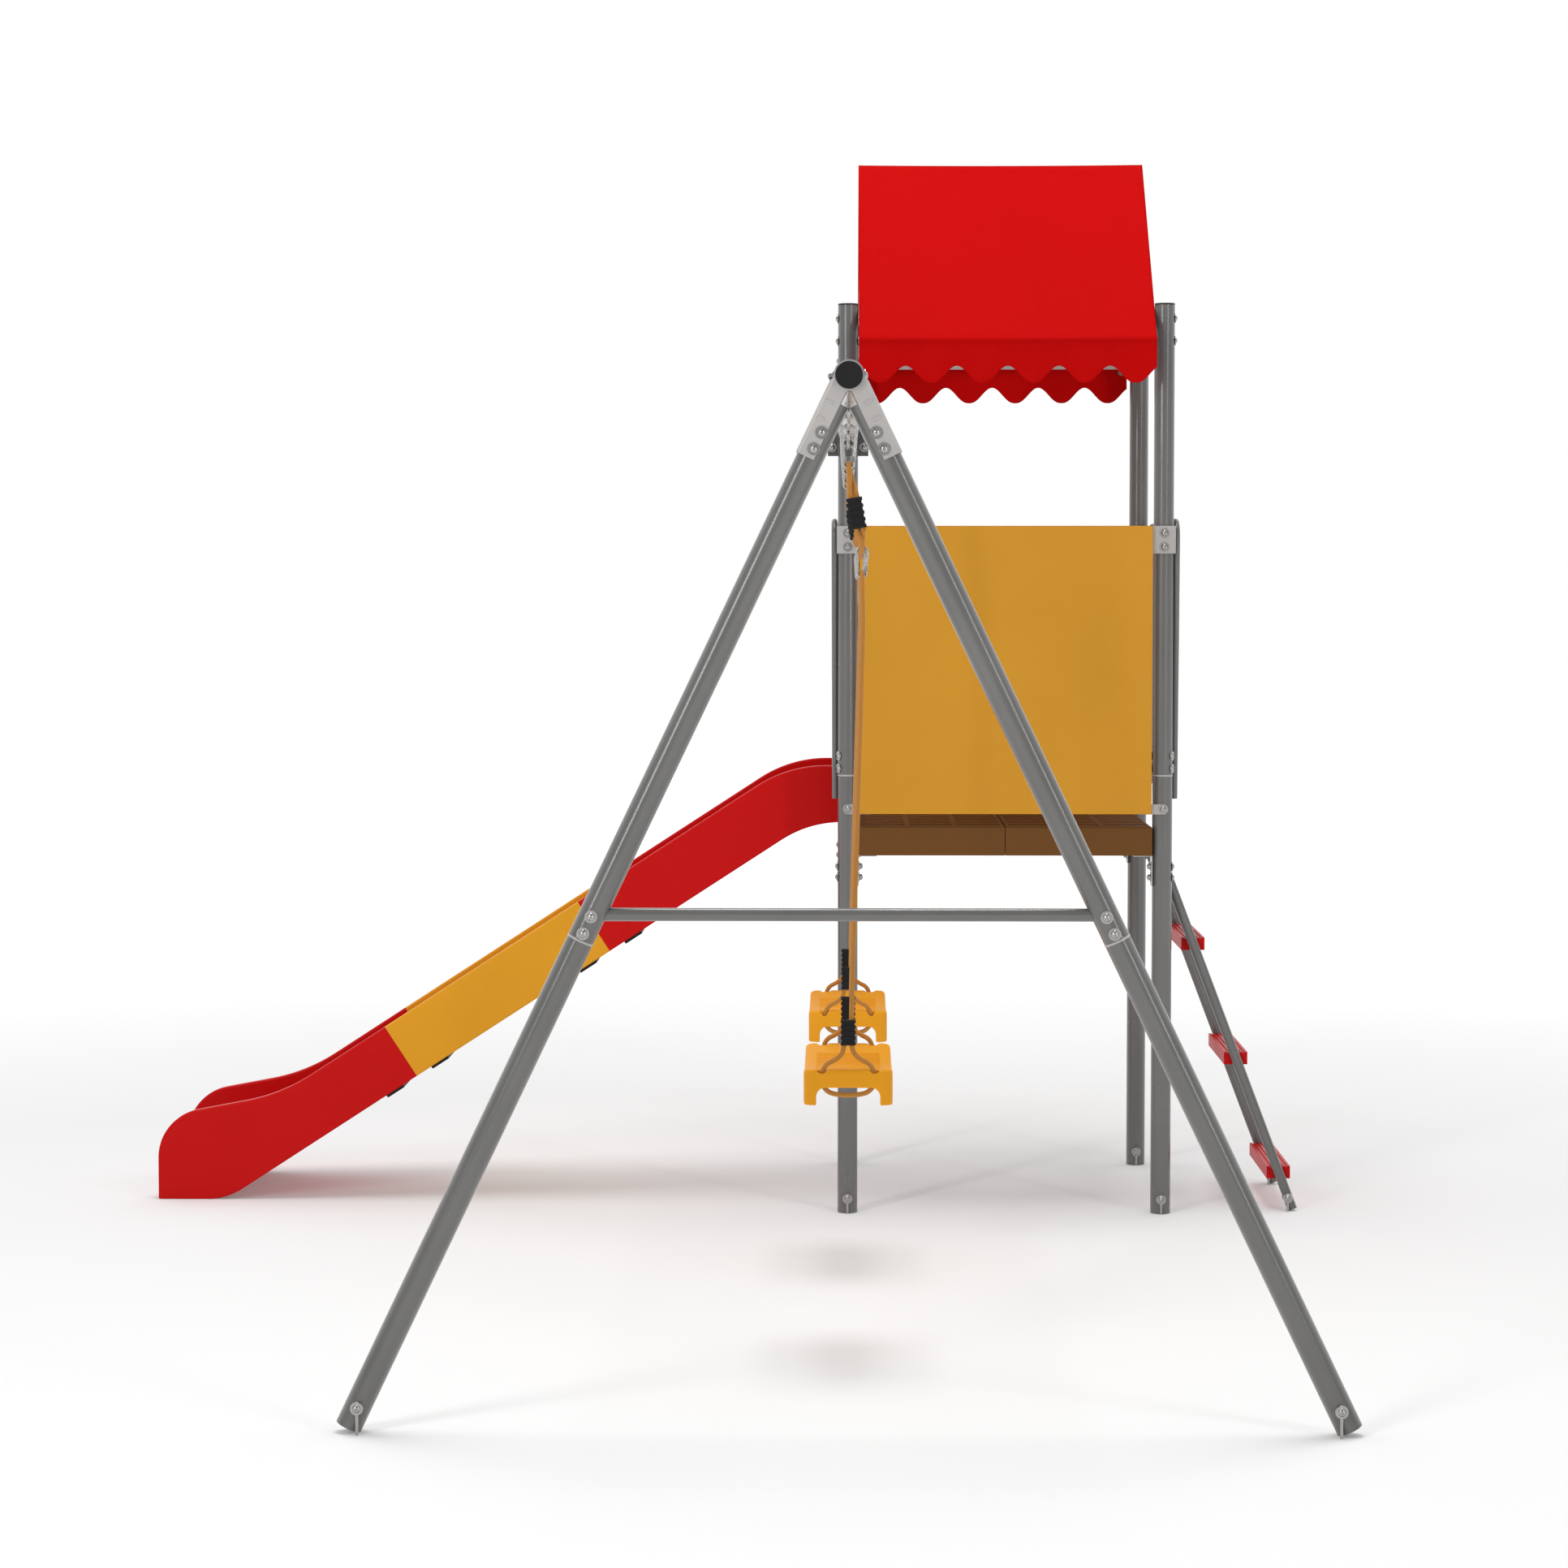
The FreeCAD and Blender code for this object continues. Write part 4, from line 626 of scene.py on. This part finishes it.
class PLAYSET_OT_seats(bpy.types.Operator):
    """Mould the seats: the frame's seat with every edge softened as a mould leaves it"""
    bl_idname = "playset.seats"
    bl_label = "Seats"

    def execute(self, context):
        for number in SWINGS:
            node = f"swing_{number}_seat"
            work = bmesh.new()
            work.from_mesh(frame["nodes"][node].data)
            bmesh.ops.remove_doubles(work, verts=work.verts, dist=1e-5)
            draft = bpy.data.meshes.new(node + "_draft")
            work.to_mesh(draft)
            work.free()
            holder = bpy.data.objects.new(node + "_draft", draft)
            context.scene.collection.objects.link(holder)
            skin = holder.modifiers.new("skin", "REMESH")
            skin.mode = "VOXEL"
            skin.voxel_size = 0.0024
            depsgraph = context.evaluated_depsgraph_get()
            shaped = bpy.data.meshes.new_from_object(holder.evaluated_get(depsgraph))
            bpy.data.objects.remove(holder)
            bpy.data.meshes.remove(draft)
            work = bmesh.new()
            work.from_mesh(shaped)
            bpy.data.meshes.remove(shaped)
            if len(work.verts) < 1000:
                raise RuntimeError("the seat couldn't be moulded")
            for _ in range(7):
                bmesh.ops.smooth_vert(work, verts=work.verts, factor=0.5, use_axis_x=True, use_axis_y=True,
                                      use_axis_z=True)
            piece = finish_piece(work, f"{node}_moulded", FINISHES["seat_plastic"], f"swing_{number}")
            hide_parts(node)
        return {"FINISHED"}


RIBS_EACH_WAY = 9
RIB_PITCH = 0.0135
RIB_REACH = 0.066
DIP_HEIGHT = 0.610
DIP_WIDENESS = 3.0


class PLAYSET_OT_seat_ribs(bpy.types.Operator):
    """Add the raised grip ribs across the middle of each seat"""
    bl_idname = "playset.seat_ribs"
    bl_label = "Seat ribs"

    def execute(self, context):
        for number in SWINGS:
            low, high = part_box(f"swing_{number}_seat")
            middle = (low + high) / 2
            work = bmesh.new()
            for k in range(-RIBS_EACH_WAY, RIBS_EACH_WAY + 1):
                y = middle.y + k * RIB_PITCH
                top = DIP_HEIGHT + (y - middle.y) ** 2 / DIP_WIDENESS
                rounded_block(work, Vector((middle.x - RIB_REACH, y - 0.0025, top - 0.002)),
                              Vector((middle.x + RIB_REACH, y + 0.0025, top + 0.0014)), 0.0011)
            finish_piece(work, f"swing_{number}_seat_ribs", FINISHES["seat_plastic"],
                         f"swing_{number}")
        return {"FINISHED"}


class PLAYSET_OT_seam_rings(bpy.types.Operator):
    """Add the thin bright ring where one tube slips into the next"""
    bl_idname = "playset.seam_rings"
    bl_label = "Tube joints"

    def execute(self, context):
        work = bmesh.new()
        low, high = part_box("post_upper_front_left")
        radius = (high.x - low.x) / 2
        ring_length, ring_thickness = 0.005, 0.0007
        for post in POSTS:
            tube_band(work, Vector((post.x, post.y, low.z)), UP, radius, ring_length, ring_thickness)
        for side, sign in (("left", -1), ("right", 1)):
            foot = middle_of(f"a_leg_lower_{side}")
            apex = Vector((BEAM.x, foot.y, BEAM.z))
            inner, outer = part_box(f"a_leg_upper_{side}")
            outer_x = inner.x if sign < 0 else outer.x
            direction = Vector((sign * LEG_SPREAD, 0, -BEAM_HEIGHT)).normalized()
            seam = apex + direction * LEG_SEAM
            if abs(seam.x - outer_x) > 0.05:
                raise RuntimeError("the leg joint isn't where the tube ends")
            tube_band(work, seam, direction, radius, ring_length, ring_thickness)
        finish_piece(work, "tube_joint_rings", FINISHES["bracket_steel"], BASE)
        return {"FINISHED"}


FLOOR_SIZE = 60.0
LIT_RADIUS = 3.0
GLOW_RISE_WIDTH = 6.0
LIGHTS = (
    # name, place, width, height, watts
    ("key", (-4.5, -7.0, 4.5), 0.8, 5.0, 200.0),
    ("fill", (5.5, -6.0, 3.5), 0.6, 5.0, 90.0),
    ("top", (0.4, 0.0, 8.0), 3.0, 3.0, 230.0),
)
LIGHTS_AIM = Vector((0.2, 0.0, 1.0))
CAMERA_PLACE = (0.3175, -8.4966, 1.5823)
CAMERA_DOWN = 0.05205
CAMERA_TURN = 0.01676


def pale_floor(scene):
    """Floor lit round the set by the lamps, with a painted glow that is faint there and rises with distance until
    the floor is white further out.
    """
    work = bmesh.new()
    bmesh.ops.create_grid(work, x_segments=1, y_segments=1, size=FLOOR_SIZE)
    mesh = bpy.data.meshes.new("floor")
    work.to_mesh(mesh)
    work.free()
    floor = bpy.data.objects.new("floor", mesh)
    scene.collection.objects.link(floor)
    paint = Paint("floor_paint", (0.9, 0.9, 0.9), 0.8)
    place = paint.place()
    tone = paint.noise(place, 0.35, 2.0)
    paint.colour(tone, (0.73, 0.73, 0.73), (0.75, 0.75, 0.75))
    paint.fixed("Specular IOR Level", 0.0)
    east, north = paint.axes(place)[:2]
    away = (east * east + north * north).math("SQRT")
    painted_glow_ramp = ((away - LIT_RADIUS) * (1.0 / GLOW_RISE_WIDTH)).clipped()
    # Painted glow: the floor gives off light of its own, faint round the set and rising with distance from it.
    paint.glow(painted_glow_ramp, (0.13, 0.13, 0.13), (0.6, 0.6, 0.6))
    mesh.materials.append(paint.material)


def soft_room(scene):
    """Room light that is grey in front and white behind the set, with a plain white backdrop."""
    world = scene.world or bpy.data.worlds.new("world")
    scene.world = world
    world.use_nodes = True
    room = world.node_tree.nodes
    links = world.node_tree.links
    facing = room.new("ShaderNodeTexCoord")
    parts = room.new("ShaderNodeSeparateXYZ")
    ramp = room.new("ShaderNodeValToRGB")
    dark, bright = ramp.color_ramp.elements
    dark.position = 0.35
    dark.color = (0.34, 0.34, 0.34, 1.0)
    bright.position = 0.62
    bright.color = (1.0, 1.0, 1.0, 1.0)
    shift = room.new("ShaderNodeMapRange")
    shift.inputs["From Min"].default_value = -1.0
    seen = room.new("ShaderNodeLightPath")
    backdrop = room.new("ShaderNodeMix")
    backdrop.data_type = "RGBA"
    backdrop.inputs[MIX_HIGH].default_value = (1.0, 1.0, 1.0, 1.0)
    links.new(facing.outputs["Generated"], parts.inputs[0])
    links.new(parts.outputs["Y"], shift.inputs["Value"])
    links.new(shift.outputs["Result"], ramp.inputs["Fac"])
    links.new(seen.outputs["Is Camera Ray"], backdrop.inputs[MIX_FACTOR])
    links.new(ramp.outputs["Color"], backdrop.inputs[MIX_LOW])
    links.new(backdrop.outputs[MIX_RESULT], room["Background"].inputs[0])


def soft_lights(scene):
    """Tall soft lights in front on both sides, and a wide one overhead."""
    for name, place, width, height, watts in LIGHTS:
        light = bpy.data.lights.new(name, "AREA")
        light.energy = watts
        light.shape = "RECTANGLE"
        light.size = width
        light.size_y = height
        holder = bpy.data.objects.new(name, light)
        holder.location = place
        aim = LIGHTS_AIM - Vector(place)
        holder.rotation_euler = aim.to_track_quat("-Z", "Y").to_euler()
        scene.collection.objects.link(holder)


class PLAYSET_OT_stage(bpy.types.Operator):
    """Set the pale floor, the soft lights and the camera"""
    bl_idname = "playset.stage"
    bl_label = "Stage"

    def execute(self, context):
        scene = context.scene
        pale_floor(scene)
        soft_room(scene)
        soft_lights(scene)
        lens = bpy.data.cameras.new("camera")
        lens.lens = 83.98
        lens.sensor_width = 36.0
        camera = bpy.data.objects.new("camera", lens)
        camera.location = CAMERA_PLACE
        camera.rotation_euler = (math.pi / 2 - CAMERA_DOWN, 0.0, CAMERA_TURN)
        scene.collection.objects.link(camera)
        scene.camera = camera
        scene.view_settings.view_transform = "Standard"
        return {"FINISHED"}


class PLAYSET_PT_panel(bpy.types.Panel):
    """Shows the play set's colours and sizes, and a button for each step"""
    bl_idname = "PLAYSET_PT_panel"
    bl_label = "Play set"
    bl_space_type = "VIEW_3D"
    bl_region_type = "UI"
    bl_category = "Play set"

    def draw(self, context):
        for group in ("play_set_looks", "play_set_canopy", "play_set_rope"):
            values = getattr(context.scene, group)
            box = self.layout.box()
            for key in values.bl_rna.properties.keys():
                if key not in ("rna_type", "name"):
                    box.prop(values, key)
        for operator in OPERATORS:
            self.layout.operator(operator.bl_idname)


OPERATORS = (
    PLAYSET_OT_stage, PLAYSET_OT_finishes, PLAYSET_OT_ropes, PLAYSET_OT_canopy, PLAYSET_OT_canopy_seams,
    PLAYSET_OT_deck_tops, PLAYSET_OT_seats, PLAYSET_OT_seat_ribs, PLAYSET_OT_seam_rings,
)
GROUPS = (("play_set_looks", PlaySetLooks), ("play_set_canopy", CanopySizes), ("play_set_rope", RopeSizes))


def register():
    for name, group in GROUPS:
        bpy.utils.register_class(group)
        setattr(bpy.types.Scene, name, bpy.props.PointerProperty(type=group))
    for kind in OPERATORS + (PLAYSET_PT_panel,):
        bpy.utils.register_class(kind)


def unregister():
    for kind in reversed(OPERATORS + (PLAYSET_PT_panel,)):
        bpy.utils.unregister_class(kind)
    for name, group in reversed(GROUPS):
        delattr(bpy.types.Scene, name)
        bpy.utils.unregister_class(group)


def main():
    register()
    bpy.ops.playset.stage()
    bpy.ops.playset.finishes()
    bpy.ops.playset.ropes()
    bpy.ops.playset.canopy()
    bpy.ops.playset.canopy_seams()
    bpy.ops.playset.deck_tops()
    bpy.ops.playset.seats()
    bpy.ops.playset.seat_ribs()
    bpy.ops.playset.seam_rings()


if __name__ == "__main__":
    main()
